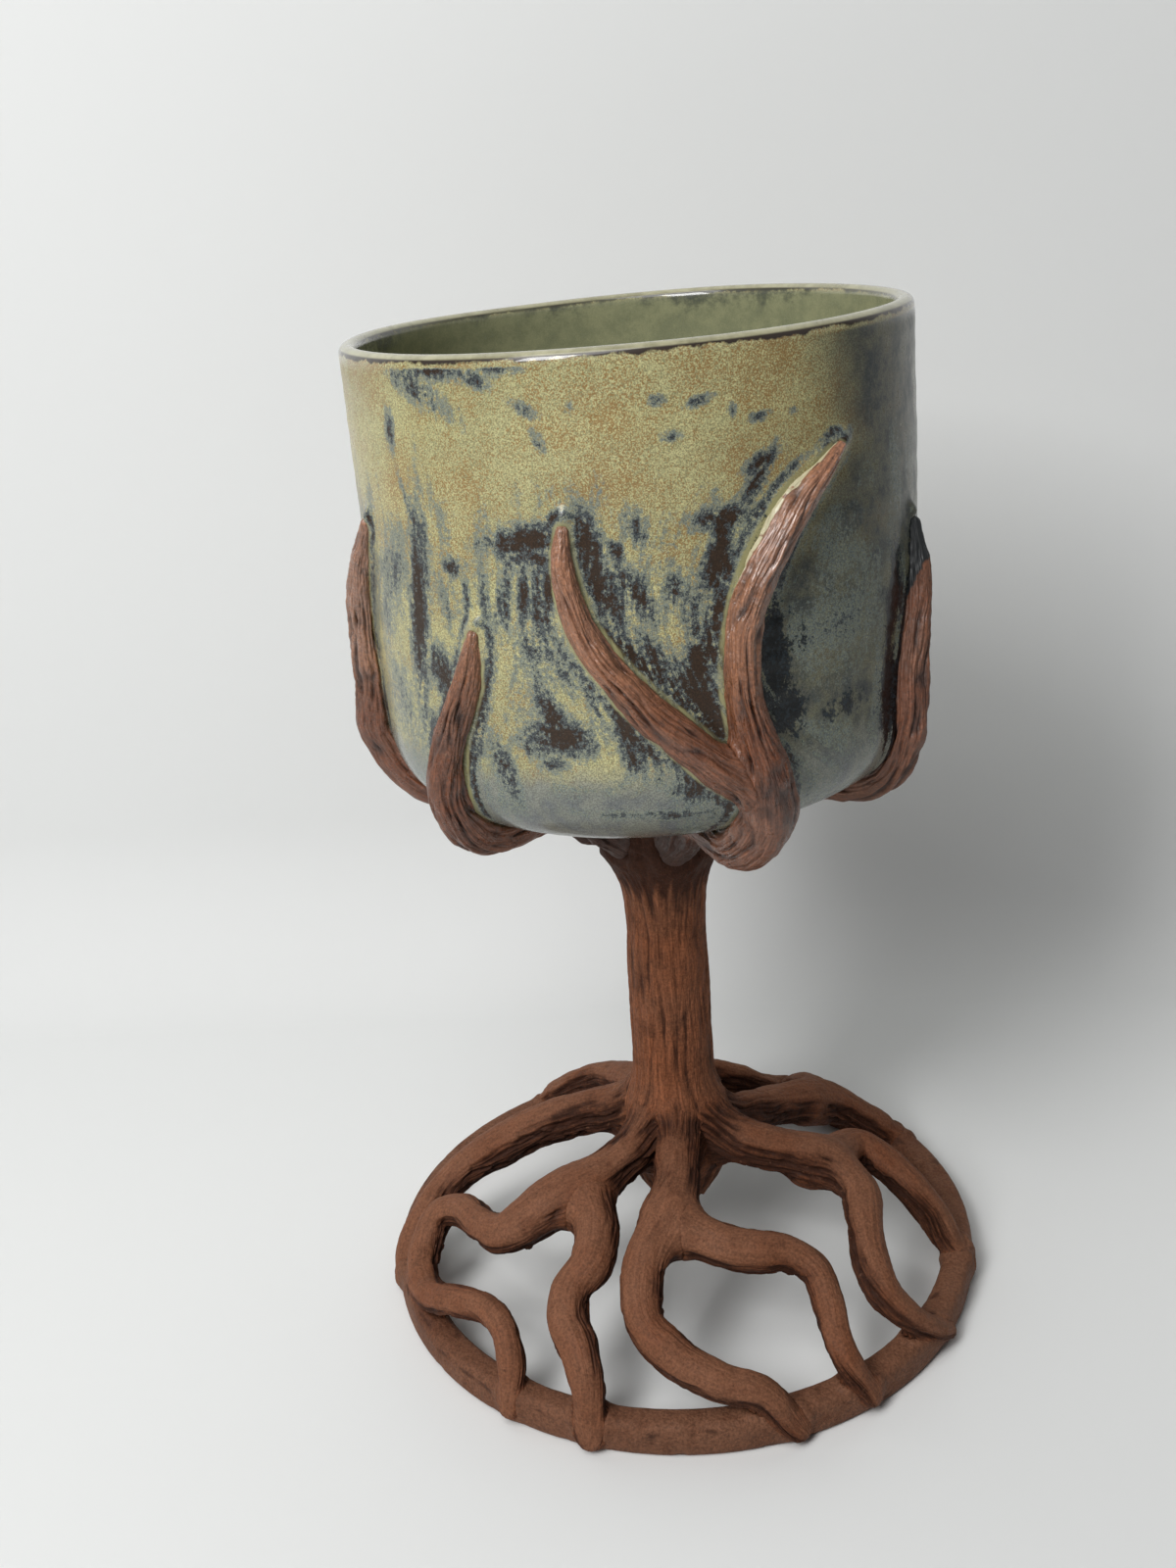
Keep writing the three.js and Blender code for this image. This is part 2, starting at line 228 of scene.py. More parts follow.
# Each root: azimuth in degrees, reach as a share of the ring's radius, thickness as a share of the
# thickest, lift off the arch as a share of the crest
ROOTS = {
    "root_front": [
        (0, 0.09, 1, 0.14), (-1, 0.22, 1, 0.03), (-3, 0.36, 0.97, 0), (-7, 0.5, 0.93, 0),
        (-11, 0.66, 0.86, 0), (-9, 0.79, 0.82, 0), (-3, 0.86, 0.78, 0), (5, 0.92, 0.69, 0),
        (13, 0.96, 0.63, 0), (18, 1, 0.53, -0.09),
    ],
    "root_front_fork": [
        (-6, 0.45, 0.53, -0.05), (3, 0.51, 0.78, -0.01), (12, 0.58, 0.86, 0), (21, 0.62, 0.82, 0),
        (29, 0.66, 0.74, 0), (33, 0.73, 0.67, 0), (32, 0.81, 0.63, 0), (30, 0.89, 0.61, 0),
        (30, 0.95, 0.59, 0), (33, 1, 0.48, -0.07),
    ],
    "root_left_front": [
        (-36, 0.09, 0.95, 0.14), (-39, 0.24, 0.97, 0.03), (-45, 0.37, 0.99, 0), (-50, 0.5, 1.07, 0),
        (-52, 0.61, 1.03, 0), (-56, 0.7, 0.84, 0), (-65, 0.73, 0.72, 0), (-74, 0.76, 0.72, 0),
        (-79, 0.83, 0.74, -0.02), (-77, 0.89, 0.72, -0.07), (-71, 0.93, 0.67, -0.09),
        (-62, 0.93, 0.65, -0.06), (-53, 0.9, 0.63, 0), (-45, 0.875, 0.61, 0), (-39, 0.9, 0.57, 0),
        (-35, 0.95, 0.53, -0.03), (-34, 1, 0.38, -0.09),
    ],
    "root_left_fork": [
        (-48, 0.43, 0.53, -0.05), (-39, 0.47, 0.78, -0.01), (-30, 0.54, 0.88, 0), (-26, 0.65, 0.86, 0),
        (-28, 0.75, 0.84, 0), (-26, 0.82, 0.82, 0), (-22, 0.88, 0.78, 0), (-19, 0.94, 0.72, -0.01),
        (-18, 1, 0.53, -0.1),
    ],
    "root_right_front": [
        (52, 0.09, 1, 0.14), (57, 0.22, 1.03, 0.03), (63, 0.34, 1.03, 0), (68, 0.46, 0.97, 0),
        (68, 0.56, 0.88, 0), (63, 0.65, 0.82, 0), (55, 0.71, 0.78, 0), (48, 0.79, 0.74, 0),
        (45, 0.87, 0.67, 0), (47, 0.94, 0.59, -0.02), (52, 0.98, 0.48, -0.07), (56, 1, 0.36, -0.09),
    ],
    "root_right": [
        (68, 0.47, 0.53, -0.07), (79, 0.53, 0.74, -0.05), (88, 0.61, 0.82, -0.05),
        (85, 0.71, 0.82, -0.06), (81, 0.8, 0.78, -0.09), (79, 0.875, 0.72, -0.15),
        (77, 0.93, 0.65, -0.19), (76, 0.97, 0.53, -0.17),
    ],
    "root_left": [
        (-118, 0.09, 1, 0.14), (-113, 0.22, 1.01, 0.03), (-105, 0.36, 1.01, 0),
        (-100, 0.51, 0.99, -0.02), (-97, 0.64, 0.93, -0.05), (-95, 0.75, 0.84, -0.07),
        (-92, 0.83, 0.78, -0.08), (-87, 0.9, 0.72, -0.1), (-83, 0.95, 0.65, -0.12),
        (-80.5, 0.985, 0.53, -0.16),
    ],
    "root_back_left": [
        (-166, 0.09, 0.95, 0.1), (-166, 0.2, 0.97, -0.06), (-164, 0.38, 0.95, -0.14),
        (-161, 0.58, 0.91, -0.17), (-156, 0.73, 0.84, -0.17), (-151, 0.85, 0.76, -0.17),
        (-149, 0.93, 0.67, -0.16), (-148, 0.985, 0.53, -0.16),
    ],
    "root_right_back": [
        (100, 0.09, 0.95, 0.07), (108, 0.18, 0.97, -0.05), (115, 0.28, 0.97, -0.1),
        (123, 0.46, 0.93, -0.14), (126, 0.65, 0.86, -0.16), (123, 0.8, 0.8, -0.19),
        (120.5, 0.91, 0.72, -0.21), (119, 0.97, 0.57, -0.17),
    ],
    "root_back_fork": [
        (124, 0.57, 0.53, -0.17), (130, 0.69, 0.72, -0.19), (137, 0.79, 0.74, -0.19),
        (144, 0.865, 0.72, -0.17), (149.5, 0.93, 0.65, -0.19), (152, 0.975, 0.53, -0.17),
    ],
    "root_back": [
        (147, 0.09, 0.95, 0.1), (156, 0.22, 0.97, -0.03), (168, 0.37, 0.95, -0.07),
        (178, 0.53, 0.91, -0.14), (180, 0.67, 0.84, -0.19), (175, 0.77, 0.78, -0.21),
        (168, 0.83, 0.74, -0.22), (161, 0.86, 0.69, -0.23), (155, 0.87, 0.59, -0.23),
    ],
}

# Each branch: azimuth in degrees, place on the cup's skin, thickness as a share of the thickest. Places
# 0 to 1 cross the flat bottom, 1 to 2 go round the corner and 2 to 3 climb the wall to the rim.
BRANCHES = {
    "branch_front": [
        (16, 0.7, 1), (19, 1.2, 1.07), (21, 1.7, 1.02), (19.5, 2.02, 0.87), (17.5, 2.13, 0.71),
        (16.5, 2.24, 0.64), (17.5, 2.35, 0.62), (20, 2.45, 0.64), (24, 2.54, 0.62), (29, 2.62, 0.56),
        (34, 2.67, 0.44), (39.5, 2.72, 0.22),
    ],
    "branch_front_fork": [
        (19, 1.85, 0.67), (12, 2.02, 0.71), (6, 2.1, 0.69), (0, 2.18, 0.67), (-6, 2.275, 0.6),
        (-11, 2.38, 0.53), (-13, 2.48, 0.44), (-13.5, 2.55, 0.36), (-13, 2.61, 0.22),
    ],
    "branch_left_front": [
        (-45, 0.72, 0.84), (-46, 1.35, 0.89), (-44, 1.85, 0.78), (-42, 2.06, 0.64), (-38.5, 2.16, 0.58),
        (-35, 2.26, 0.49), (-33, 2.36, 0.24),
    ],
    "branch_left": [
        (-88, 0.72, 0.87), (-88, 1.35, 0.96), (-87, 1.85, 0.91), (-84, 2.1, 0.76), (-79, 2.3, 0.67),
        (-73, 2.45, 0.51), (-66, 2.58, 0.24),
    ],
    "branch_right": [
        (61, 0.72, 0.73), (61, 1.4, 0.73), (59.5, 1.98, 0.67), (61, 2.14, 0.62), (64.5, 2.27, 0.58),
        (66.5, 2.37, 0.49), (67, 2.47, 0.24),
    ],
    "branch_right_back": [
        (117, 0.72, 0.82), (119, 1.35, 0.84), (123, 1.95, 0.71), (128, 2.16, 0.64), (127, 2.32, 0.58),
        (121, 2.47, 0.47), (115, 2.58, 0.24),
    ],
    "branch_back": [
        (172, 0.72, 0.87), (173, 1.35, 0.91), (171, 1.95, 0.78), (166, 2.16, 0.69), (164, 2.32, 0.64),
        (167, 2.47, 0.56), (174, 2.6, 0.42), (180, 2.69, 0.24),
    ],
    "branch_left_back": [
        (-136, 0.72, 0.82), (-135, 1.35, 0.84), (-132, 1.95, 0.71), (-133, 2.14, 0.62),
        (-138, 2.28, 0.56), (-142, 2.4, 0.44), (-142, 2.5, 0.24),
    ],
}

# Forks grow out of the side of another root or branch
GROWS_FROM = {
    "root_front_fork": "root_front",
    "root_left_fork": "root_left_front",
    "root_right": "root_right_front",
    "root_back_fork": "root_right_back",
    "branch_front_fork": "branch_front",
}

# Branches that turn pale sooner or later than the rest as they climb, the one whose left flank the glaze
# ran over, and the one with its tip in dark glass
# Paler sooner on the lit branch and later on the shaded one: painted light and painted shade
LIT_AND_SHADED_CLIMB = {"branch_right": 0.3, "branch_left": 2}
LAPPED_BRANCH = "branch_front"
# The dipped branch's clay is also painted darker, as shade
DIPPED_BRANCH = "branch_right"

# Brush marks where the glaze ran thin and broke to brown: azimuth in degrees, share of the way up the
# wall, half length and half width in mm, lean in degrees (to the right going up), strength
THIN_MARKS = [
    # beside the two left branches
    (-48, 0.39, 12.5, 1.8, 10, 1), (-46, 0.63, 4.7, 0.6, -19, 0.7), (-50, 0.39, 5, 1.1, 5, 0.6),
    (-37, 0.52, 2, 1.3, 85, 0.8), (-34, 0.46, 3.4, 0.6, -3, 0.6), (-30, 0.45, 4, 1, -4, 0.5),
    (-42, 0.24, 4.2, 2.1, -23, 0.95), (-34, 0.17, 7.5, 1.3, 19, 0.95), (-39, 0.02, 5.5, 1.6, 22, 0.8),
    # comb of streaks left of the front fork
    (-20, 0.59, 5.4, 1.7, 85, 1), (-19, 0.55, 4, 1.1, -84, 0.8), (-25, 0.47, 6.2, 0.8, 10, 0.6),
    (-22, 0.45, 6.5, 0.8, 6, 0.7), (-19, 0.45, 6.8, 0.8, 5, 0.8), (-17, 0.45, 6.6, 0.9, 9, 0.85),
    (-27, 0.44, 4.7, 0.8, 11, 0.5), (-21, 0.34, 2.8, 1.6, -36, 0.7),
    # streaks along the right of the front fork
    (-9, 0.57, 4.2, 1.7, -5, 1), (-10, 0.56, 3.5, 0.9, -8, 0.8), (-7, 0.48, 5.7, 1.7, -21, 1),
    (-4, 0.56, 1.6, 0.9, -22, 0.85), (-1, 0.46, 4.6, 1.5, -29, 0.85), (0, 0.61, 2.7, 1.6, -20, 0.55),
    (-3, 0.32, 8, 1.3, -46, 1), (2, 0.3, 4.2, 1.3, -33, 0.85), (6, 0.47, 2.1, 0.9, 4, 0.8),
    (9, 0.37, 4.8, 1.5, -17, 0.6),
    # left of the front branch, and the dark corner of the fork
    (15, 0.61, 3.6, 1.3, 87, 0.9), (14, 0.52, 5, 1.5, 23, 0.95), (15, 0.54, 4.8, 1.1, -5, 0.9),
    (9, 0.41, 4.5, 1.5, -2, 0.5), (13, 0.4, 5, 1.3, 18, 0.8), (10, 0.29, 6.3, 2.3, 28, 1),
    (9, 0.19, 8, 2.6, -36, 1), (11, 0.12, 6.3, 2.1, -24, 1), (22, 0.68, 4, 1, 34, 0.7),
    (23, 0.72, 2.2, 1, 63, 0.85), (39, 0.73, 2.8, 0.7, 74, 0.9),
    # under the front fork
    (-18, 0.17, 4, 1.5, -21, 1), (-17, 0.12, 4.7, 2.3, 88, 1), (-24, 0.09, 1.3, 0.8, -4, 0.75),
    (-19, 0.05, 2, 0.8, 87, 0.7), (-4, 0.06, 2.4, 1.3, -28, 0.7), (-9, 0.22, 7.7, 0.6, -32, 0.7),
    (-2, 0.09, 4, 0.7, -41, 0.8), (-15, 0.31, 4.5, 0.6, -17, 0.5), (-10, 0.2, 5.9, 0.8, -21, 0.5),
    (-30, 0.03, 5.4, 1.7, -15, 0.65), (0, -0.09, 11.5, 0.8, -87, 0.6), (8, -0.03, 6.4, 2.3, -65, 0.65),
    # under the lip
    (-39, 0.98, 5.7, 1.3, -85, 1), (-23, 0.98, 2.6, 1, -83, 1), (-41, 0.93, 6.2, 1.8, -60, 0.6),
    (-28, 0.95, 2.5, 1, -73, 0.7), (-50, 0.83, 2.4, 0.9, 4, 0.75), (-18, 0.88, 2.5, 0.9, -63, 0.45),
    (-16, 0.81, 1.9, 0.9, -25, 0.4), (-10, 0.88, 1.2, 0.6, 5, 0.4), (5, 0.88, 1.1, 0.7, -84, 0.55),
    (12, 0.87, 1.7, 0.6, 77, 0.6), (18, 0.84, 1, 0.6, 0, 0.52), (23, 0.82, 1.4, 0.6, 83, 0.6),
    (30, 0.82, 0.9, 0.6, -82, 0.45), (7, 0.8, 1.2, 0.8, -84, 0.5),
]

# Places where the glaze gathered into dark glass, as above
POOL_MARKS = [
    (22, 0.42, 9, 2, 6, 1), (23.5, 0.28, 11, 3, -6, 1.1), (26, 0.13, 5, 4, 0, 0.95),
    (40, 0.1, 3, 9, 0, 0.7), (54, 0.08, 10, 2.6, 3, 1.15), (56.5, 0.3, 11, 2.2, 9, 1.15),
    (31, 0.6, 9, 1.4, 42, 0.6), (30, 0.3, 7, 1.3, 4, 0.55), (36, 0.22, 5, 1.2, 0, 0.5),
]

# Paper on the floor and behind the chalice
PAPER_REACH = 4
WALL_BACK = 0.135
WALL_FOLD = 0.04
WALL_HEIGHT = 1.5
LIFT_OFF = 0.2 * MM
SWEEP_ROWS = 24

# Light of the room: how bright it shines and looks, and its tint
ROOM_LIGHT = 0.06
ROOM_SEEN = 0.35
ROOM_TINT = (0.95, 0.97, 1, 1)

# Soft lamps: place, aim, width and height, power in watts
LAMPS = {
    "key lamp": ((-0.3619, -0.5366, 0.5902), (0, 0, 0.12), (0.24, 0.36), 4.2),
    "top lamp": ((-0.238, -0.352, 0.836), (0, 0, 0.1), (0.5, 0.5), 2.6),
}

# Camera at the photograph's viewing angle: place, turn in degrees, focal length and sensor in mm
CAMERA_PLACE = (0, -0.25935, 0.20217)
CAMERA_TURN = (68.4961, 3.8179, 1.2504)
CAMERA_LENS = 35.98
CAMERA_SENSOR = 36

# Places of the colour sockets on Blender's Mix node
MIX_FIRST = 6
MIX_SECOND = 7
MIX_RESULT = 2


def paint(red, green, blue):
    """Linear colour of an sRGB colour counted to 255."""
    shade = np.array([red, green, blue]) / 255
    return tuple(np.where(shade <= 0.04045, shade / 12.92, ((shade + 0.055) / 1.055) ** 2.4).tolist())


def length(label, words, default, high):
    """A length that a user can change, in metres."""
    return FloatProperty(name=label, description=words, default=default, min=0, max=high,
                         unit="LENGTH", subtype="DISTANCE")


def colour(label, words, red, green, blue):
    """A colour that a user can change, given in sRGB counted to 255."""
    return FloatVectorProperty(name=label, description=words, default=paint(red, green, blue), size=3,
                               min=0, max=1, subtype="COLOR")


class ChaliceSizes(bpy.types.PropertyGroup):
    """Sizes of the chalice that a user may change"""

    root_thickness: length("Root thickness", "Thickness of the thickest root", 9.5 * MM, 0.02)
    branch_thickness: length("Branch thickness", "Thickness of the thickest branch", 9 * MM, 0.02)
    bark_depth: length("Bark depth", "Depth of the folds in the roots and branches", 1.2 * MM, 0.003)
    trunk_grain: length("Trunk grain", "Depth of the upright scratches in the trunk", 0.3 * MM, 0.001)
    fillet: length("Luting fillet", "Width over which joined pieces are smoothed together", 5 * MM, 0.01)
    meniscus: length("Glaze bead", "Height of the glaze against the branches", 0.45 * MM, 0.001)
    throwing: length("Throwing marks", "Unevenness of the thrown cup", 0.25 * MM, 0.001)
    lumps: FloatProperty(name="Lumps", default=0.08, min=0, max=0.2, subtype="FACTOR",
                         description="Unevenness of the rolled coils, as a share of their thickness")


class ChaliceColours(bpy.types.PropertyGroup):
    """Colours of the clay and the glaze"""

    clay: colour("Clay", "Bare red stoneware", 112, 66, 42)
    clay_trunk: colour("Trunk clay", "Clay of the trunk, paler from handling", 134, 81, 53)
    clay_ring: colour("Ring clay", "Darker clay of the foot ring", 84, 49, 33)
    clay_patch: colour("Clay patches", "Browner patches in the clay", 86, 50, 33)
    # Painted shade in folds, cracks and creases; also random dark specks
    clay_shade_and_specks: colour("Clay folds", "Clay in the folds and crevices", 44, 22, 13)
    clay_dust: colour("Clay dust", "Rubbed edges and paler grain of the clay", 128, 89, 67)
    copper: colour("Branch clay", "Clay of the branches where glaze vapour tinted it", 112, 62, 35)
    # Partly painted sheen on the upper, lit parts of the branches
    blush_and_sheen: colour("Branch blush", "Paler coppery clay higher up the branches", 158, 108, 78)
    # Partly a painted highlight along the lit flank
    lap_and_highlight: colour("Glaze lap", "Pale glaze that ran over the side of a branch", 190, 182, 148)
    olive: colour("Olive glaze", "Main colour of the glaze", 166, 163, 121)
    straw: colour("Straw glaze", "Paler, yellower glaze", 185, 179, 131)
    rust: colour("Rust speckle", "Iron specks in the glaze", 140, 104, 58)
    ash: colour("Ash glaze", "Pale blue-grey speckle round the thin places", 106, 117, 117)
    ash_pale: colour("Pale ash glaze", "Olive specks in the ash glaze", 134, 137, 116)
    slate: colour("Slate glaze", "Dark blue-grey inside the speckle", 44, 48, 53)
    slate_pale: colour("Pale slate glaze", "Blue-grey specks in the slate glaze", 84, 91, 92)
    # Dusk colours are partly painted shade on the side turned from the key lamp
    dusk_and_shade: colour("Dusk glaze", "Grey-green of the cooler side", 88, 90, 81)
    dusk_deep_and_shade: colour("Deep dusk glaze", "Bluer clouds on the cooler side", 64, 69, 69)
    mist: colour("Mist glaze", "Pale grey glaze at the bottom", 129, 131, 121)
    mist_deep: colour("Deep mist glaze", "Bluer streaks in the glaze at the bottom", 106, 110, 110)
    # Painted shade on the underside below the bottom corner
    under: colour("Underside glaze", "Dull glaze below the bottom corner", 58, 60, 52)
    umber: colour("Umber break", "Brown where the glaze is thinnest", 42, 30, 19)
    umber_pale: colour("Pale umber break", "Warmer specks in the brown", 58, 41, 27)
    # Partly a painted highlight: shown only on the lit side of the branches
    bead: colour("Bead glaze", "Glaze gathered along the branches, on the lit side", 150, 146, 104)
    pool: colour("Dark pool", "Thick glassy glaze beside the branches", 14, 18, 20)
    pool_pale: colour("Pale pool", "Blue clouds in the dark pools", 40, 50, 56)
    # Partly painted shade: the line below the lip on the side turned from the key lamp
    lip_line_and_shade: colour("Lip line", "Dark line below the lip on the cooler side", 52, 54, 56)
    lip: colour("Lip", "Worn edge of the lip", 142, 138, 108)
    lip_pale: colour("Pale lip", "Palest places of the lip", 170, 166, 134)
    inside: colour("Inside glaze", "Glaze inside the cup", 146, 147, 114)
    inside_deep: colour("Deep inside glaze", "Darker clouds inside the cup", 128, 131, 102)
    smoke: colour("Smoke", "Dark stain inside the cup, below the lip", 66, 70, 66)
    stage: colour("Stage", "Floor and backdrop", 232, 233, 232)


# Shapes


def plan(azimuth, radius, height):
    """Point at an azimuth in degrees, a radius and a height: (radius sin, -radius cos, height)."""
    angle = np.radians(azimuth)
    x, y, z = np.broadcast_arrays(radius * np.sin(angle), -radius * np.cos(angle), height)
    return np.stack([x, y, z], axis=-1)


def leaned(points, base=CUP_BASE):
    """Points turned to the left by the cup's lean about the middle of its bottom."""
    turn, rise = np.cos(CUP_LEAN), np.sin(CUP_LEAN)
    x, y, z = points[..., 0], points[..., 1], points[..., 2] - base
    return np.stack([turn * x - rise * z, y, base + rise * x + turn * z], axis=-1)


def unit(vectors):
    """Vectors scaled to length one."""
    return vectors / np.linalg.norm(vectors, axis=-1, keepdims=True)


def ease(value, low, high):
    """0 below low, 1 above high and a smooth step 3t^2 - 2t^3 between."""
    t = np.clip((value - low) / (high - low), 0, 1)
    return t * t * (3 - 2 * t)


def centred(turn):
    """Shares of a turn counted from the top side, from -0.5 to 0.5."""
    return (turn + 0.5) % 1 - 0.5


def swung(angle):
    """Angles in degrees brought between -180 and 180."""
    return (angle + 180) % 360 - 180


def facing_down(turn):
    """0 on the top side of a coil and 1 on its underside: (1 - cos(turn)) / 2."""
    return 0.5 - 0.5 * np.cos(TURN * turn)


def smooth_line(stations, step):
    """Smooth line through stations (x, y, z, then any other columns), in even steps of length.

    Each span is a cubic whose end slopes come from its neighbours, spaced by the square root of the
    distance between stations; the cubics are then walked at an even pace.
    """
    before = 2 * stations[:1] - stations[1:2]
    after = 2 * stations[-1:] - stations[-2:-1]
    knots = np.vstack([before, stations, after])
    gap = np.sqrt(np.linalg.norm(np.diff(knots[:, :3], axis=0), axis=1))[:, None]
    slope = np.diff(knots, axis=0) / gap
    pull = slope[:-1] + slope[1:] - (knots[2:] - knots[:-2]) / (gap[:-1] + gap[1:])
    t = np.linspace(0, 1, SPAN_POINTS, endpoint=False)[None, :, None]
    span = gap[1:-1, None]
    first, last = stations[:-1, None], stations[1:, None]
    spline = (
        (2 * t**3 - 3 * t**2 + 1) * first + (3 * t**2 - 2 * t**3) * last
        + (t**3 - 2 * t**2 + t) * span * pull[:-1, None] + (t**3 - t**2) * span * pull[1:, None]
    )
    fine = np.vstack([spline.reshape(-1, stations.shape[1]), stations[-1:]])
    walked = np.append(0, np.cumsum(np.linalg.norm(np.diff(fine[:, :3], axis=0), axis=1)))
    paces = np.linspace(0, walked[-1], int(np.ceil(walked[-1] / step)) + 1)
    return np.stack([np.interp(paces, walked, column) for column in fine.T], axis=1)


def noise(rng, along, around, cells):
    """Smooth random field of about -1 to 1 on two coordinates counted in cells; around wraps after cells.

    Every lattice point has a random slope, and the four slopes round a point are blended with quintic
    steps, then multiplied by 1.5.
    """
    along = along - along.min()
    row, column = np.floor(along).astype(int), np.floor(around).astype(int)
    down, across = along - row, around - column
    tilt = rng.uniform(0, TURN, (row.max() + 2, cells))
    ease_down = down**3 * (down * (6 * down - 15) + 10)
    ease_across = across**3 * (across * (6 * across - 15) + 10)

    def corner(i, j):
        angle = tilt[row + i, (column + j) % cells]
        return np.cos(angle) * (down - i) + np.sin(angle) * (across - j)

    left = corner(0, 0) * (1 - ease_down) + corner(1, 0) * ease_down
    right = corner(0, 1) * (1 - ease_down) + corner(1, 1) * ease_down
    return 1.5 * (left * (1 - ease_across) + right * ease_across)


def field_drawer(rng, run, turn):
    """A function that draws random fields: lumps of a length along a skin, and a count of them round it.

    A sway, counted in lumps, carries them sideways.
    """
    def draw(length, count, sway=0):
        return noise(rng, run / length, (turn * count + sway) % count, count)

    return draw


def grid_normals(grid, middle):
    """Outward unit normals of a grid whose columns close: cross product of its two slopes."""
    along = np.gradient(grid, axis=0)
    around = np.roll(grid, -1, axis=1) - np.roll(grid, 1, axis=1)
    normals = np.cross(around, along)
    normals = normals / np.maximum(np.linalg.norm(normals, axis=-1, keepdims=True), 1e-12)
    side = np.sign(np.sum(normals * (grid - middle), axis=-1).mean())
    return normals * side


def root_stations(route, thickness):
    """Stations of a root: plan(azimuth, reach), height of the arch plus the lift, half thickness, top side.

    The arch falls from the crest to the ring as (1 - reach^spread)^round.
    """
    azimuth, reach, share, lift = np.array(route).T
    landing = RING_HEIGHT - LANDING_SINK
    fall = np.maximum(0, 1 - reach**ARCH_SPREAD) ** ARCH_ROUND
    height = landing + (ROOT_CREST - landing) * fall + lift * ROOT_CREST
    at = plan(azimuth, reach * RING_RADIUS, height)
    return np.hstack([at, share[:, None] * thickness / 2, plan(azimuth, 0.5, 1)])


def branch_stations(route, thickness, forked):
    """Stations of a branch: two in the trunk's fork, unless it grows from a branch, then places on the cup.

    A place is the cup's skin pushed out by a share of the half thickness: flat bottom, corner arc, wall.
    The top side is the skin's normal.
    """
    azimuth, place, share = np.array(route).T
    half = share * thickness / 2
    out = BRANCH_PROUD * half
    angle = np.clip(place - 1, 0, 1) * np.pi / 2
    reach = CUP_CORNER + out
    climb = np.maximum(place - 2, 0) * WALL_CLIMB
    radius = np.where(place < 1, CUP_FLAT * place, CUP_FLAT + reach * np.sin(angle))
    at = leaned(plan(azimuth, radius, CUP_BASE + CUP_CORNER - reach * np.cos(angle) + climb))
    top = leaned(plan(azimuth, np.sin(angle), -np.cos(angle)), 0)
    skin = np.hstack([at, half[:, None], top])
    if forked:
        return skin
    radius, drop, outwards, upwards = np.array(FORK_STATIONS).T
    low = plan(azimuth[0], radius, CUP_BASE - drop)
    top = plan(azimuth[0], outwards, upwards)
    return np.vstack([np.hstack([low, np.full((len(low), 1), half[0]), top]), skin])


def tipped(line):
    """A line of stations carried on past its end by a round tip: radius times sqrt(1 - u^2)."""
    step = np.linalg.norm(line[-1, :3] - line[-2, :3])
    along = unit(line[-1, :3] - line[-2, :3])
    radius = line[-1, 3]
    u = np.linspace(0, 0.99, max(TIP_ROWS, int(radius / step * TIP_FINENESS)))[1:, None]
    tip = np.repeat(line[-1:], len(u), axis=0)
    tip[:, :3] += u * radius * along
    tip[:, 3:4] = radius * np.sqrt(1 - u**2)
    return np.vstack([line, tip])


def trunk_outline(step):
    """The trunk's half outline (radius, 0, height), a smooth line through its shares."""
    share = np.array(TRUNK_OUTLINE, dtype=float)
    height = TRUNK_FOOT + share[:, 1] * (TRUNK_HIGH[2] - TRUNK_FOOT)
    return smooth_line(np.stack([share[:, 0] * TRUNK_RADIUS, 0 * height, height], axis=1), step)


def gap_to_coils(points, lines):
    """Distance from rows of points to the nearest skin of several coils: to each middle, less its radius.

    Coils whose box is far off are left out.
    """
    nearest = np.full(len(points), FAR_OFF)
    low, high = points.min(axis=0) - FAR_OFF, points.max(axis=0) + FAR_OFF
    square = np.sum(points**2, axis=1)[:, None]
    for line in lines:
        middle = line[:, :3]
        if np.any(middle.min(axis=0) > high) or np.any(middle.max(axis=0) < low):
            continue
        apart = square + np.sum(middle**2, axis=1) - 2 * points @ middle.T
        nearest = np.minimum(nearest, (np.sqrt(np.maximum(apart, 0)) - line[:, 3]).min(axis=1))
    return nearest


def gap_to_trunk(points):
    """Distance from points to the trunk's outline, measured level, or up and down past its ends."""
    outline = trunk_outline(1 * MM)
    radius = np.interp(points[..., 2], outline[:, 2], outline[:, 0])
    level = np.hypot(points[..., 0], points[..., 1]) - radius
    past = np.maximum(TRUNK_FOOT - points[..., 2], points[..., 2] - TRUNK_HIGH[2])
    return np.maximum(level, past)


def gap_to_ring(points):
    """Distance from points to the foot ring's rounded section."""
    across = np.abs(np.hypot(points[..., 0], points[..., 1]) - RING_RADIUS + RING_WIDTH / 2)
    up = np.abs(points[..., 2] - RING_HEIGHT / 2)
    side = across - RING_WIDTH / 2 + RING_ROUND
    top = up - RING_HEIGHT / 2 + RING_ROUND
    outside = np.hypot(np.maximum(side, 0), np.maximum(top, 0))
    return outside + np.minimum(np.maximum(side, top), 0) - RING_ROUND


def kin(name, lines):
    """Lines of the limb that a limb grows from and of the forks that grow from it."""
    return [line for other, line in lines.items()
            if GROWS_FROM.get(name) == other or GROWS_FROM.get(other) == name]


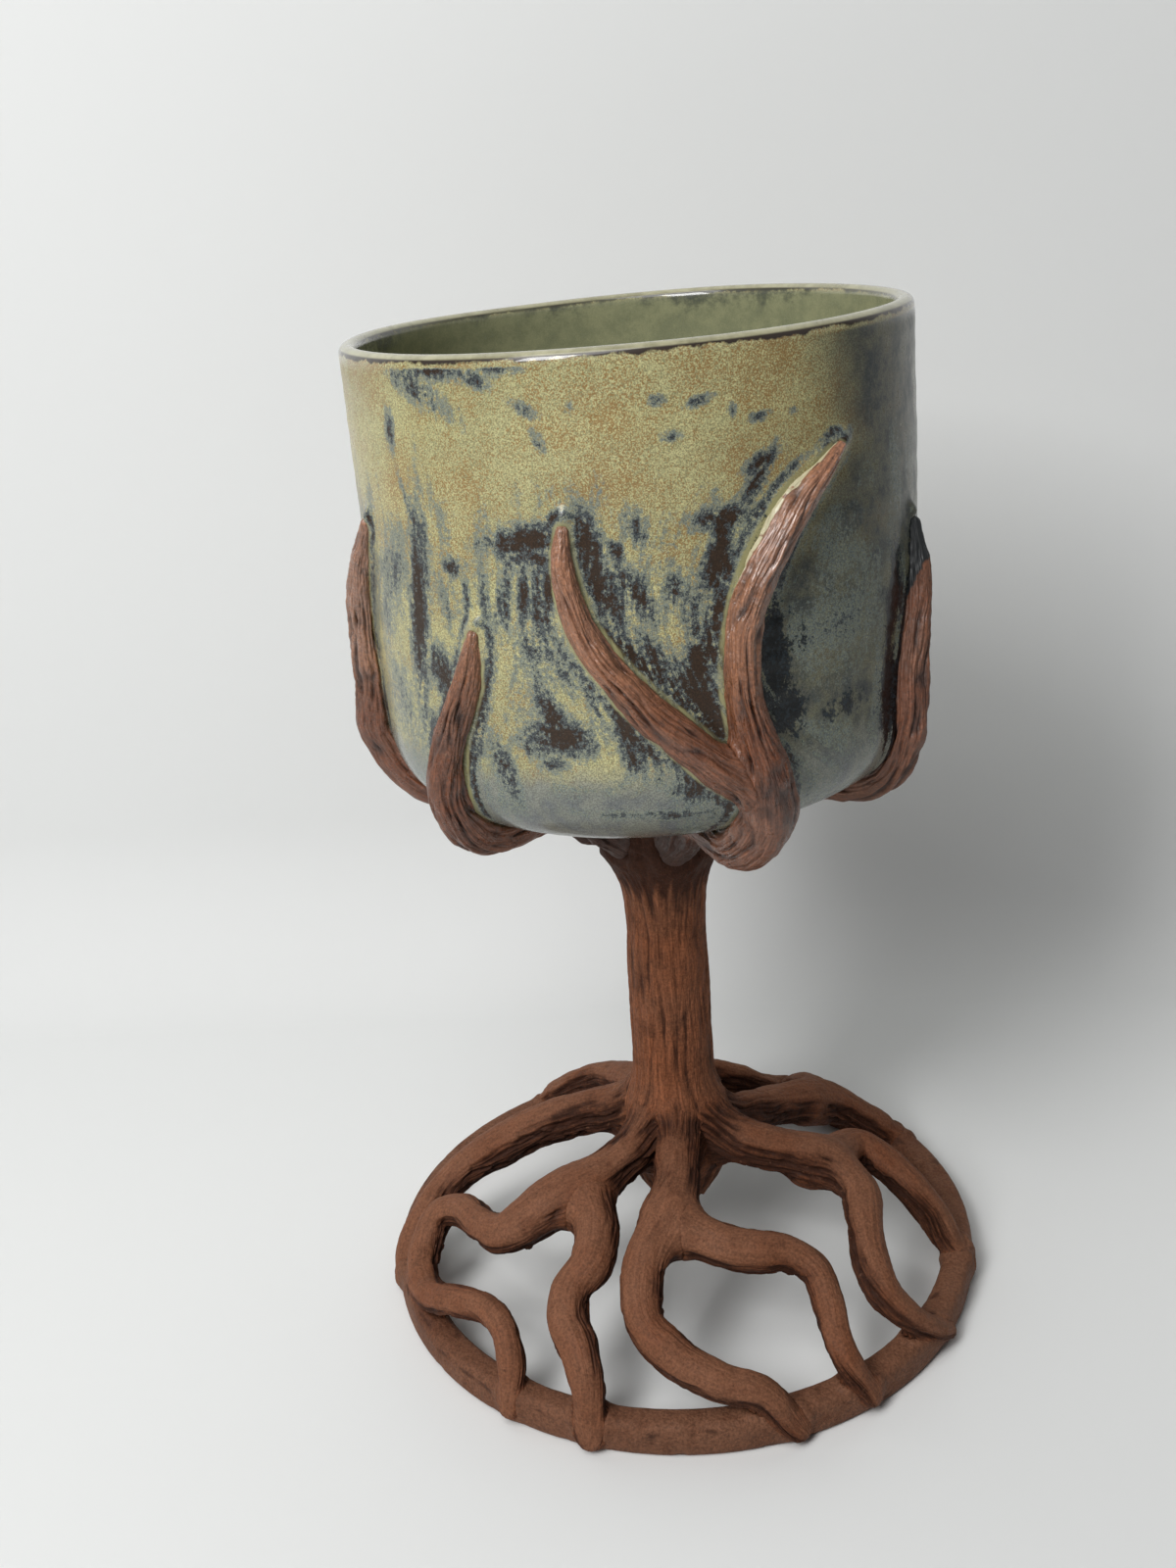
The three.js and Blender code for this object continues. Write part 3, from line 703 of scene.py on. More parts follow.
def luted(skin, normals, gap_to, width):
    """How far a skin rises along its normals to melt into a neighbour, and how near it is to the joint.

    The rise h ends where the smooth union of the two bodies ends: min(h, gap) = (width - |h - gap|)^2 /
    (4 width). Past the middle of the fillet the skin dives under the neighbour's.
    """
    points, lines = skin.reshape(-1, 3), normals.reshape(-1, 3)
    start = gap_to(points)
    near = np.flatnonzero((start < width) & (start > -width))
    height, joint = np.zeros(len(points)), np.zeros(len(points))
    if len(near):
        rise, gap = np.zeros(len(near)), start[near]
        for _ in range(LUTING_ROUNDS):
            overlap = np.clip(width - np.abs(rise - gap), 0, None)
            rise = np.clip(rise - np.minimum(rise, gap) + overlap**2 / (4 * width), 0, width)
            gap = gap_to(points[near] + lines[near] * rise[:, None])
        sunk = np.clip(rise - LUTING_DIVE * np.clip(rise - gap, 0, None), 0, None)
        height[near] = sunk * np.clip(1 + start[near] / (LUTING_FADE * width), 0, 1)
        joint[near] = np.exp(-(((rise - gap) / (LUTING_JOINT * width)) ** 2))
    return height.reshape(skin.shape[:-1]), joint.reshape(skin.shape[:-1])


def luted_to_all(skin, normals, neighbours):
    """Greatest rise and nearest joint over several neighbours, each with its own width of fillet."""
    rises, joints = zip(*(luted(skin, normals, gap_to, width) for gap_to, width in neighbours))
    return np.max(rises, axis=0), np.max(joints, axis=0)


def bark(draw, turn, ridges, reach):
    """Furrows of torn clay along a coil, from 0 on plain skin to about 1 in a deep furrow.

    Round ridges with sharp valleys, 1 - |sin(pi phase)|^power, run along the coil in three widths. Random
    fields, the longest of a reach in mm, sway them, open and close each valley, and chip them.
    """
    bend = draw(7, 6)
    sway = draw(reach, 4)
    chip = draw(2.6, 2 * ridges, bend)
    valleys = 0
    for times, more, power, low, high, depth in BARK_WIDTHS:
        count = times * ridges + more
        phase = turn * count + 1.2 * sway + 0.03 * count * bend
        opened = ease(draw(0.7 * reach, count, 0.5 * bend), low, high)
        valleys = valleys + depth * ((1 - np.abs(np.sin(np.pi * phase)) ** power) * opened)
    return valleys * (1 + 0.4 * chip) + 0.2 * np.maximum(chip, 0)


def coil_frame(line):
    """Unit vectors across a line: away from what it lies on, and sideways."""
    along = unit(np.gradient(line[:, :3], axis=0))
    top = line[:, 4:7]
    up = unit(top - np.sum(top * along, axis=1, keepdims=True) * along)
    return up, np.cross(along, up)


def coil_skin(line, radius, turn):
    """Skin of a coil: middle + radius * (cos(turn) up + sin(turn) side), turn in shares of a full turn."""
    up, side = coil_frame(line)
    angle = TURN * turn
    spoke = np.cos(angle)[..., None] * up[:, None] + np.sin(angle)[..., None] * side[:, None]
    return line[:, None, :3] + radius[..., None] * spoke


def run_and_turn(line, columns):
    """Grids of the length walked along a line, in mm, and of the shares of a turn round it."""
    step = np.linalg.norm(np.diff(line[:, :3], axis=0), axis=1)
    run = np.append(0, np.cumsum(step)) / MM
    return np.broadcast_arrays(run[:, None], np.arange(columns)[None] / columns)


def grain_space(line, run, turn):
    """Coordinates that run with a coil: round its section, and a share of the way walked along it."""
    half, angle = line[:, 3:4], TURN * turn
    return np.stack([half * np.cos(angle), half * np.sin(angle), GRAIN_SHARE * MM * run], axis=-1)


def torn(rng, run, turn, place, wave):
    """Torn edge along both sides of a coil: 0 above it and 1 below, with the depth of the tear beside it.

    The edge lies at a share of a turn from the top, wavering by two random fields of the length.
    """
    off = centred(turn)
    side = np.sign(off)
    waver = noise(rng, run / 8, side + 1, 3) + 0.5 * noise(rng, run / 2.4, side + 1, 3)
    below = np.abs(off) - place - wave * waver
    step = ease(below, -0.006, 0.012)
    return step, step * np.exp(-((below / 0.035) ** 2))


def root_surface(name, seed, lines, sizes):
    """Skin of a root and its furrows.

    Radius = half thickness * (1 + lumps), flattened towards the tip, then swollen along its normal towards
    the trunk, the ring and the root it forks from, and cut in by two torn edges on each side and by the
    bark, which leaves the top plain.
    """
    rng = np.random.default_rng(seed)
    line = tipped(lines[name])
    half = line[:, 3:4]
    run, turn = run_and_turn(line, ROOT_COLUMNS)
    draw = field_drawer(rng, run, turn)
    kindred = kin(name, lines)
    coil = coil_skin(line, half + 0 * turn, turn)
    calm = 1 - 0.9 * ease(gap_to_coils(coil.reshape(-1, 3), kindred), FORK_CALM, 0).reshape(turn.shape)
    lump = draw(12, 3) + 0.7 * draw(5, 4)
    flat = 1 - TIP_FLATTEN * ease(run, run.max() - TIP_LENGTH, run.max() - TIP_END)
    wedge = 1 / np.hypot(np.cos(TURN * turn) / flat, np.sin(TURN * turn))
    radius = half * (1 + sizes.lumps * calm * lump) * wedge
    plain = coil_skin(line, radius, turn)
    normals = grid_normals(plain, line[:, None, :3])
    swell, joint = luted_to_all(plain, normals, [
        (lambda points: gap_to_coils(points, kindred), ROOT_FILLET * sizes.fillet),
        (gap_to_trunk, TRUNK_FILLET * sizes.fillet),
        (gap_to_ring, LANDING_FILLET * sizes.fillet),
    ])
    thick = ease(half / sizes.root_thickness, 0.08, 0.4)
    high, tear = torn(rng, run, turn, *HIGH_TEAR)
    low, rip = torn(rng, run, turn, *LOW_TEAR)
    open_high = ease(noise(rng, run / 15, 0 * turn, 2), -0.2, 0.35)
    start = np.exp(-((run / 13) ** 2)) * (name not in GROWS_FROM)
    side = 0.1 + 0.9 * ease(facing_down(turn) + 0.2 * draw(12, 4) + 0.35 * start, 0.1, 0.42)
    fold = side * bark(draw, turn, *ROOT_BARK) + 0.35 * tear * open_high + 0.5 * rip
    fold = thick * fold * (1 - 0.4 * joint) * (0.35 + 0.65 * calm)
    cut = 0.3 * high * open_high + 0.45 * low
    pits = 0.05 * draw(1.3, 22)
    depth = sizes.bark_depth * (fold + thick * cut * (1 - joint) - pits)
    moved = plain + normals * (swell - depth)[..., None]
    moved[..., 2] = np.maximum(moved[..., 2], ROOT_CLEAR)
    # Painted shade: the sides and underside of the root are painted darker, except at the joints
    dark = fold + 0.3 * side * (1 - joint)
    return moved, {"fold": dark, "side": side, "grain": grain_space(line, run, turn)}


def branch_surface(name, seed, lines, sizes):
    """Skin of a branch and its fields.

    Radius = half thickness * (1 + lumps + a ridge that wanders along the back), then swollen along its
    normal towards the trunk and the branch it forks from, less the bark.
    """
    rng = np.random.default_rng(seed)
    line = tipped(lines[name])
    half = line[:, 3:4]
    run, turn = run_and_turn(line, BRANCH_COLUMNS)
    draw = field_drawer(rng, run, turn)
    kindred = kin(name, lines)
    lump = draw(11, 3) + 0.5 * draw(5, 5)
    crest = 0.08 * noise(rng, run / 17, 0 * turn, 2)
    ridge = np.exp(-((centred(turn - crest) / 0.085) ** 2)) - 0.35
    sunk = 0.62 + 0.38 * ease(run, 5, 15) if name not in GROWS_FROM else 1
    radius = sunk * half * (1 + 1.3 * sizes.lumps * lump + 0.13 * ridge)
    plain = coil_skin(line, radius, turn)
    normals = grid_normals(plain, line[:, None, :3])
    swell, joint = luted_to_all(plain, normals, [
        (lambda points: gap_to_coils(points, kindred), BRANCH_FILLET * sizes.fillet),
        (gap_to_trunk, TRUNK_FILLET * sizes.fillet),
    ])
    thick = ease(half / sizes.branch_thickness, 0.06, 0.4)
    patch = 0.6 + 0.4 * ease(draw(9, 4), -0.35, 0.4)
    fold = thick * patch * bark(draw, turn, *BRANCH_BARK) * (1 - 0.5 * joint)
    pits = 0.08 * sizes.bark_depth * draw(1.2, 20)
    moved = plain + normals * (swell - sizes.bark_depth * fold + pits)[..., None]
    fields = {"side": 0.7 + 0 * turn, "grain": grain_space(line, run, turn)}
    return moved, fields | branch_fields(name, moved, turn, fold)


def branch_fields(name, skin, turn, fold):
    """Fields of a branch: its folds, the side that hugs the cup, how far it has climbed, bare clay, glaze.

    The lap lies on the left flank of one branch, the dip at the tip of another, whose bare clay is painted
    shade.
    """
    hug = facing_down(turn)
    climb = (skin[..., 2] - CUP_BASE - CUP_CORNER) / WALL_CLIMB
    bare = ease(np.hypot(skin[..., 0], skin[..., 1]), BARE_OUTER, BARE_INNER)
    left = centred(turn)
    flank = ease(left + 0.12 * ease(climb, 0.6, 0.25), -0.18, -0.25) * ease(left, -0.4, -0.32)
    dipped = name == DIPPED_BRANCH
    return {
        # Painted shade on the bare branches below the cup
        "fold": fold + bare * ease(skin[..., 2], FORK_LOW, FORK_HIGH),
        "hug": hug,
        # Scaled so that the lit branch is painted paler and the shaded one darker
        "climb": climb * LIT_AND_SHADED_CLIMB.get(name, 1),
        "lap_and_highlight": flank * ease(climb, 0.3, 0.5) * (name == LAPPED_BRANCH),
        "dip": ease(climb + 0.17 * hug, 0.35, 0.47) * dipped,
        "bare": np.maximum(bare, 0.8 * dipped),
    }


def trunk_surface(roots, branches, sizes):
    """Skin of the trunk: its outline turned about +Z, swollen towards its limbs, with upright grain.

    The grain is two random fields stretched up the trunk and the bark, with small nicks under the fork.
    """
    rng = np.random.default_rng(TRUNK_SEED)
    outline = trunk_outline(TRUNK_STEP)
    run, turn = run_and_turn(outline, TRUNK_COLUMNS)
    draw = field_drawer(rng, run, turn)
    reach, height = outline[:, :1], outline[:, 2:3]
    lump = draw(16, 3) + 0.4 * draw(9, 6)
    plain = plan(360 * turn, reach * (1 + 0.035 * lump), height)
    normals = grid_normals(plain, plain * np.array([0, 0, 1]))
    limbs = [*roots.values(), *branches.values()]
    width = TRUNK_FILLET * sizes.fillet
    swell, joint = luted(plain, normals, lambda points: gap_to_coils(points, limbs), width)
    bend = draw(14, 7)
    fibre = draw(15, 38, 0.8 * bend)
    thread = draw(9, 84, 1.3 * bend)
    grain = 0.6 * fibre + 0.5 * thread
    ends = ease(np.abs(height - WAIST), WAIST_PLAIN, WAIST_END)
    folds = (0.35 + 0.65 * ends) * bark(draw, turn, *TRUNK_BARK)
    nick = ease(draw(2.2, 24), 0.35, 0.65) * ease(height, NICKS_LOW, NICKS_HIGH)
    pits = 0.12 * draw(1.2, 44)
    depth = sizes.trunk_grain * (grain + 2 * folds + 2 * nick + pits) * (1 - 0.3 * joint)
    moved = plain + normals * (swell - depth)[..., None]
    # Painted shade under the cup and in the creases at the trunk's foot
    painted_shade = ease(height, FORK_LOW, FORK_HIGH + 1 * MM) + 0.2 * joint * ease(height, FOOT_HIGH, FOOT_LOW)
    fold = np.clip(0.65 * grain + 0.72 * folds + 0.4 * nick + painted_shade, 0, 1.4)
    lengthwise = plan(360 * turn, reach, GRAIN_SHARE * height)
    return moved, {"fold": fold, "side": 0.8 + 0 * turn, "grain": lengthwise}


def ring_surface(roots, sizes):
    """Skin of the foot ring: a superellipse carried round a circle, cut flat by the table.

    (cos(angle)^square, sin(angle)^square), each with its own sign, times half the width and height. Width,
    radius and height waver round the ring, and the skin is swollen where roots land.
    """
    rng = np.random.default_rng(RING_SEED)
    around = np.arange(RING_ROWS)[:, None] / RING_ROWS
    around, section = np.broadcast_arrays(around, np.arange(RING_COLUMNS)[None] / RING_COLUMNS)
    angle = TURN * section
    wave = noise(rng, section * 2, around * 9, 9)
    across = np.sign(np.cos(angle)) * np.abs(np.cos(angle)) ** RING_SQUARE
    up = np.sign(np.sin(angle)) * np.abs(np.sin(angle)) ** RING_SQUARE
    half = RING_WIDTH / 2 + RING_SWELL * wave
    radius = RING_RADIUS - RING_WIDTH / 2 + half * across - RING_SWAY * (1 + wave)
    height = (RING_HEIGHT - RING_SINK) / 2 + (RING_HEIGHT + RING_SINK) / 2 * up * (1 + 0.015 * wave)
    plain = plan(360 * around, radius, height)
    middle = plan(360 * around, RING_RADIUS - RING_WIDTH / 2, RING_HEIGHT / 2)
    normals = grid_normals(plain, middle)
    landings = list(roots.values())
    width = RING_FILLET * sizes.fillet
    swell, _ = luted(plain, normals, lambda points: gap_to_coils(points, landings), width)
    crumb = noise(rng, section * 26, around * 190, 190)
    scuff = ease(noise(rng, section * 9, around * 70, 70), 0.35, 0.7)
    moved = plain + normals * (swell - 0.1 * MM * scuff + 0.03 * MM * crumb)[..., None]
    moved[..., 2] = np.maximum(moved[..., 2], 0)
    return moved, {"fold": 0.4 * scuff, "side": 0 * scuff, "grain": plain}


def cup_profile():
    """Cup's outline (radius, height) from the middle of its underside round the lip to its floor.

    Flat bottom, quarter circle, wall, half circle for the lip, inner wall, quarter circle, floor.
    Also gives the number of rows up to the top of the outer wall.
    """
    inner = CUP_RADIUS - CUP_WALL
    bend = CUP_CORNER - CUP_WALL
    wall_top = CUP_HEIGHT - LIP_ROUND
    quarter = np.linspace(-np.pi / 2, 0, CORNER_ROWS)
    lip = np.linspace(0, np.pi, LIP_ROWS)
    back = np.linspace(0, -np.pi / 2, INNER_CORNER_ROWS)
    bottom = np.linspace(CUP_MIDDLE, CUP_FLAT, FLAT_ROWS, endpoint=False)
    floor = np.linspace(inner - bend, CUP_MIDDLE, FLAT_ROWS)[1:]
    wall = np.linspace(CUP_CORNER, wall_top, WALL_ROWS)[1:-1]
    inner_wall = np.linspace(wall_top, CUP_FLOOR + bend, INNER_WALL_ROWS)[1:-1]
    radius = [
        bottom, CUP_FLAT + CUP_CORNER * np.cos(quarter), np.full(wall.shape, CUP_RADIUS),
        inner + LIP_ROUND + LIP_ROUND * np.cos(lip), np.full(inner_wall.shape, inner),
        inner - bend + bend * np.cos(back), floor,
    ]
    height = [
        0 * bottom, CUP_CORNER + CUP_CORNER * np.sin(quarter), wall,
        wall_top + LIP_ROUND * np.sin(lip), inner_wall,
        CUP_FLOOR + bend + bend * np.sin(back), np.full(floor.shape, CUP_FLOOR),
    ]
    outside = sum(len(part) for part in radius[:3])
    return np.concatenate(radius), np.concatenate(height), outside


def marks(azimuth, rise, table):
    """Strongest of a table of brush marks.

    A mark is strength * exp(-0.7 r^1.4), where r^2 = (along / half length)^2 + (across / half width)^2.
    """
    strongest = np.zeros(azimuth.shape)
    for place, share, long, wide, lean, strength in table:
        across = np.radians(swung(azimuth - place)) * CUP_RADIUS / MM
        up = (rise - share) * WALL_CLIMB / MM
        tilt = np.radians(lean)
        u = up * np.cos(tilt) + across * np.sin(tilt)
        v = across * np.cos(tilt) - up * np.sin(tilt)
        square = (u / long) ** 2 + (v / wide) ** 2
        strongest = np.maximum(strongest, strength * np.exp(-0.7 * square**0.7))
    return strongest


def glaze_lanes(azimuth, tall, branches):
    """Azimuths bent so that lines of equal value run beside the branches, as the glaze did when it ran.

    The bend is the mean of how far each branch has swung from its tip at this height, weighted by
    exp(-(angle to the branch / the width of a lane)^2).
    """
    swing, weight = np.zeros(azimuth.shape), np.full(azimuth.shape, 0.15)
    for line in branches.values():
        height = line[:, 2] - CUP_BASE
        climb = height > 0.6 * CUP_CORNER
        angle = np.degrees(np.unwrap(np.arctan2(line[climb, 0], -line[climb, 1])))
        here = np.interp(tall, height[climb], angle)
        near = np.exp(-((swung(azimuth - here) / LANE_WIDTH) ** 2))
        swing, weight = swing + near * (here - angle[-1]), weight + near
    return azimuth - swing / weight


def cup_surface(branches, sizes):
    """Skin of the cup: its outline turned, uneven from throwing, leaned, and beaded along the branches.

    The bead is exp(-(gap / its width)^2) high, with a drop exp(-(distance / its width)^2) at each tip.
    """
    rng = np.random.default_rng(CUP_SEED)
    radius, height, outside = cup_profile()
    azimuth = 360 * np.arange(CUP_COLUMNS)[None] / CUP_COLUMNS - 180
    azimuth, tall = np.broadcast_arrays(azimuth, height[:, None])
    turn = azimuth / 360 + 0.5
    row = np.arange(len(radius))[:, None]
    draw = field_drawer(rng, tall, turn)
    wobble = draw(22 * MM, 5) + 0.35 * draw(2.6 * MM, 3)
    waver = 0.8 * sizes.throwing * noise(rng, 0 * tall, turn * 7, 7) * (tall / CUP_HEIGHT) ** 6
    thrown = radius[:, None] + sizes.throwing * ease(tall, 0, CUP_CORNER) * wobble
    plain = leaned(plan(azimuth, thrown, CUP_BASE + tall + waver))
    gap = gap_to_coils(plain.reshape(-1, 3), branches.values()).reshape(azimuth.shape)
    near = np.maximum(gap, 0) / MM
    ends = np.stack([line[[-1, -4], :3] for line in branches.values()], axis=1)
    tips = ends[0] + DROP_REACH * (ends[0] - ends[1])
    apart = np.sqrt(((plain[..., None, :] - tips) ** 2).sum(axis=-1).min(axis=-1)) / MM
    drop = np.exp(-((apart / DROP_WIDTH) ** 2))
    bead = np.exp(-((near / BEAD_WIDTH) ** 2)) + DROP_HEIGHT * drop
    bead = bead * ease(tall, 1 * MM, 6 * MM) * (row < outside)
    normals = grid_normals(plain, leaned(plan(azimuth, 0, CUP_BASE + 0.5 * CUP_HEIGHT)))
    moved = plain + normals * (sizes.meniscus * bead)[..., None]
    lane = glaze_lanes(azimuth, tall, branches)
    inner = 1.0 * (row >= outside + LIP_ROWS // 2)
    fields = {"inner": inner, "flow": plan(lane, CUP_RADIUS, FLOW_SHARE * tall)}
    return moved, fields | glaze_fields(rng, azimuth, tall, lane, near, row < outside)


def glaze_fields(rng, azimuth, tall, lane, near, outer):
    """Fields of the glaze outside: thin places, pools, way up the wall, cooler side with painted shade, gap
    to the branches.

    It is thin at the brush marks, along the shore of each branch, in washes beside it, in drifts at the
    back and a little all over the lower wall; the greatest of these holds.
    """
    turn = azimuth / 360 + 0.5
    rise = (tall - CUP_CORNER) / WALL_CLIMB
    wash = noise(rng, rise * 5, (lane / 360 + 0.5) * 70 % 70, 70)
    drift = noise(rng, rise * 7, turn * 60, 60) + 0.6 * noise(rng, rise * 16, turn * 90, 90)
    shore = np.exp(-(((near - 1.5) / 0.8) ** 2)) * (0.5 + 0.6 * wash)
    beside = 0.75 * np.exp(-near / 7) * ease(wash, -0.15, 0.5)
    beside = beside * ease(rise, 0.7, 0.3) * ease(rise, -0.12, 0.05)
    back = ease(np.abs(azimuth), 75, 100) * ease(rise, 0.85, 0.2) * ease(rise, -0.1, 0.06)
    # On the left the glaze breaks to ash a little more: partly blue-grey mottling, partly painted shade
    # towards the left edge
    base = (0.19 + 0.14 * wash + 0.08 * ease(azimuth, -42, -62)) * ease(rise, 1.02, 0.5)
    drifts = 0.9 * back * ease(drift, 0.1, 0.8)
    thin = np.max([marks(azimuth, rise, THIN_MARKS), shore, beside, drifts, base], axis=0)
    edge = np.interp(rise, *np.transpose(COOL_AND_SHADE_EDGE))
    # Cooler side: grey-green glaze, partly painted shade where the cup turns from the key lamp
    cool = ease(azimuth - edge, -6 + 4 * rise, 3 + 16 * rise) * ease(azimuth, 130, 85)
    return {
        "thin": thin * outer, "pool": marks(azimuth, rise, POOL_MARKS) * outer, "rise": rise,
        "cool": cool * outer, "gap": np.minimum(near, 8),
    }


# Meshes


def grid_faces(index, closed):
    """Squares between the rows of a grid of point numbers, and triangles that close its ends.

    The rows close round when closed is set; otherwise the two numbers past the grid are the poles.
    """
    beside = np.roll(index, -1, axis=1)
    if closed:
        after, beyond = np.roll(index, -1, axis=0), np.roll(beside, -1, axis=0)
        return np.stack([index, beside, beyond, after], axis=-1).reshape(-1, 4), np.empty((0, 3), dtype=int)
    quads = np.stack([index[:-1], beside[:-1], beside[1:], index[1:]], axis=-1).reshape(-1, 4)
    poles = np.full((2, index.shape[1]), [[index.size], [index.size + 1]])
    start = np.stack([beside[0], index[0], poles[0]], axis=-1)
    end = np.stack([index[-1], beside[-1], poles[1]], axis=-1)
    return quads, np.vstack([start, end])


def listed(values, closed):
    """Values of a grid as a list, followed by the means of its first and last row unless it is closed."""
    rows = values.reshape(values.shape[0] * values.shape[1], -1)
    if closed:
        return rows
    return np.vstack([rows, values[[0, -1]].mean(axis=1).reshape(2, -1)])


def make_piece(name, grid, fields, closed=False):
    """Mesh object from a grid of points whose columns close round.

    The rows also close when closed is set; otherwise a pole at the mean of each end row closes the ends.
    Faces are turned to give a positive volume. Fields become point attributes.
    """
    rows, columns = grid.shape[:2]
    points = listed(grid, closed)
    quads, fans = grid_faces(np.arange(rows * columns).reshape(rows, columns), closed)
    triangles = np.vstack([quads[:, [0, 1, 2]], quads[:, [0, 2, 3]], fans])
    a, b, c = (points[triangles[:, k]] for k in range(3))
    if np.sum(a * np.cross(b, c)) < 0:
        quads, fans = quads[:, ::-1], fans[:, ::-1]
    loops = np.concatenate([quads.ravel(), fans.ravel()])
    sides = np.concatenate([np.full(len(quads), 4), np.full(len(fans), 3)])
    mesh = bpy.data.meshes.new(name)
    mesh.vertices.add(len(points))
    mesh.vertices.foreach_set("co", points.ravel())
    mesh.loops.add(len(loops))
    mesh.loops.foreach_set("vertex_index", loops)
    mesh.polygons.add(len(sides))
    mesh.polygons.foreach_set("loop_start", np.append(0, np.cumsum(sides)[:-1]))
    mesh.update(calc_edges=True)
    mesh.shade_smooth()
    for label, field in fields.items():
        values = listed(np.broadcast_to(field, (rows, columns, *field.shape[2:])), closed)
        kind, key = ("FLOAT_VECTOR", "vector") if values.shape[1] == 3 else ("FLOAT", "value")
        layer = mesh.attributes.new(label, kind, "POINT")
        layer.data.foreach_set(key, values.astype(np.float32).ravel())
    if mesh.validate():
        raise RuntimeError(f"{name}: the mesh has faults")
    piece = bpy.data.objects.new(name, mesh)
    bpy.context.scene.collection.objects.link(piece)
    return piece


def seat(piece, node, material):
    """Gives a piece its finish, hides the solid whose place it takes and makes it ride with the chalice."""
    piece.data.materials.append(material)
    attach(piece, "root")
    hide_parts(node)


# Finishes


class Finish:
    """A material under construction: adds shader nodes and joins them."""

    def __init__(self, name):
        self.material = bpy.data.materials.new(name)
        self.material.use_nodes = True
        self.tree = self.material.node_tree
        self.skin = self.tree.nodes["Principled BSDF"]
        self.place = self.node("ShaderNodeTexCoord").outputs["Object"]

    def node(self, kind, inputs=None, **settings):
        """A node with its settings and inputs; an input is a value or another node's output."""
        made = self.tree.nodes.new(kind)
        for key, value in settings.items():
            setattr(made, key, value)
        for key, value in (inputs or {}).items():
            self.feed(made.inputs[key], value)
        return made

    def feed(self, socket, value):
        """Joins an output to a socket, or sets the socket's own value."""
        if isinstance(value, bpy.types.NodeSocket):
            self.tree.links.new(value, socket)
        else:
            socket.default_value = value

    def field(self, name):
        """A field stored on the mesh."""
        return self.node("ShaderNodeAttribute", attribute_name=name).outputs["Fac"]

    def cloud(self, scale, detail=2.0, rough=0.5, flow=None):
        """Random cloud of 0 to 1; scale counts lumps per metre. flow names a field that it follows."""
        place = self.place
        if flow:
            place = self.node("ShaderNodeAttribute", attribute_name=flow).outputs["Vector"]
        return self.node("ShaderNodeTexNoise", {
            "Vector": place, "Scale": scale, "Detail": detail, "Roughness": rough,
        }).outputs["Fac"]

    def step(self, value, low, high, first=0.0, last=1.0):
        """Smooth step from first at low to last at high."""
        return self.node("ShaderNodeMapRange", {
            "Value": value, "From Min": low, "From Max": high, "To Min": first, "To Max": last,
        }, interpolation_type="SMOOTHSTEP").outputs["Result"]

    def sum(self, first, second, share=1.0):
        """first + share * second."""
        return self.reckon("MULTIPLY_ADD", second, share, first)

    def times(self, first, second):
        """Product of two values."""
        return self.reckon("MULTIPLY", first, second)

    def most(self, first, second):
        """Greater of two values."""
        return self.reckon("MAXIMUM", first, second)

    def reckon(self, operation, *values):
        """Result of a sum that Blender's Math node works out."""
        return self.node("ShaderNodeMath", dict(enumerate(values)), operation=operation).outputs[0]

    def mix(self, share, first, second):
        """Colour between first and second."""
        made = self.node("ShaderNodeMix", data_type="RGBA")
        self.feed(made.inputs[0], share)
        for place, value in ((MIX_FIRST, first), (MIX_SECOND, second)):
            self.feed(made.inputs[place], value if isinstance(value, bpy.types.NodeSocket) else (*value, 1))
        return made.outputs[MIX_RESULT]

    def shade(self, tint, share):
        """A colour made darker or lighter by a share that varies over the surface."""
        made = self.node("ShaderNodeMix", data_type="RGBA", blend_type="MULTIPLY")
        made.inputs[0].default_value = 1
        self.feed(made.inputs[MIX_FIRST], tint)
        grey = self.node("ShaderNodeCombineColor", {"Red": share, "Green": share, "Blue": share})
        self.feed(made.inputs[MIX_SECOND], grey.outputs["Color"])
        return made.outputs[MIX_RESULT]

    def bump(self, height, strength, distance, under=None):
        """Surface relief from a height field, over another relief."""
        made = self.node("ShaderNodeBump", {"Height": height, "Strength": strength, "Distance": distance})
        if under is not None:
            self.feed(made.inputs["Normal"], under)
        return made.outputs["Normal"]

    def set(self, label, value):
        """Sets one of the shader's own sockets, or joins an output to it."""
        self.feed(self.skin.inputs[label], value)

    def done(self, tint, rough, normal):
        """Joins colour, roughness and relief to the shader."""
        self.set("Base Color", tint)
        self.set("Roughness", rough)
        self.set("Normal", normal)
        return self.material


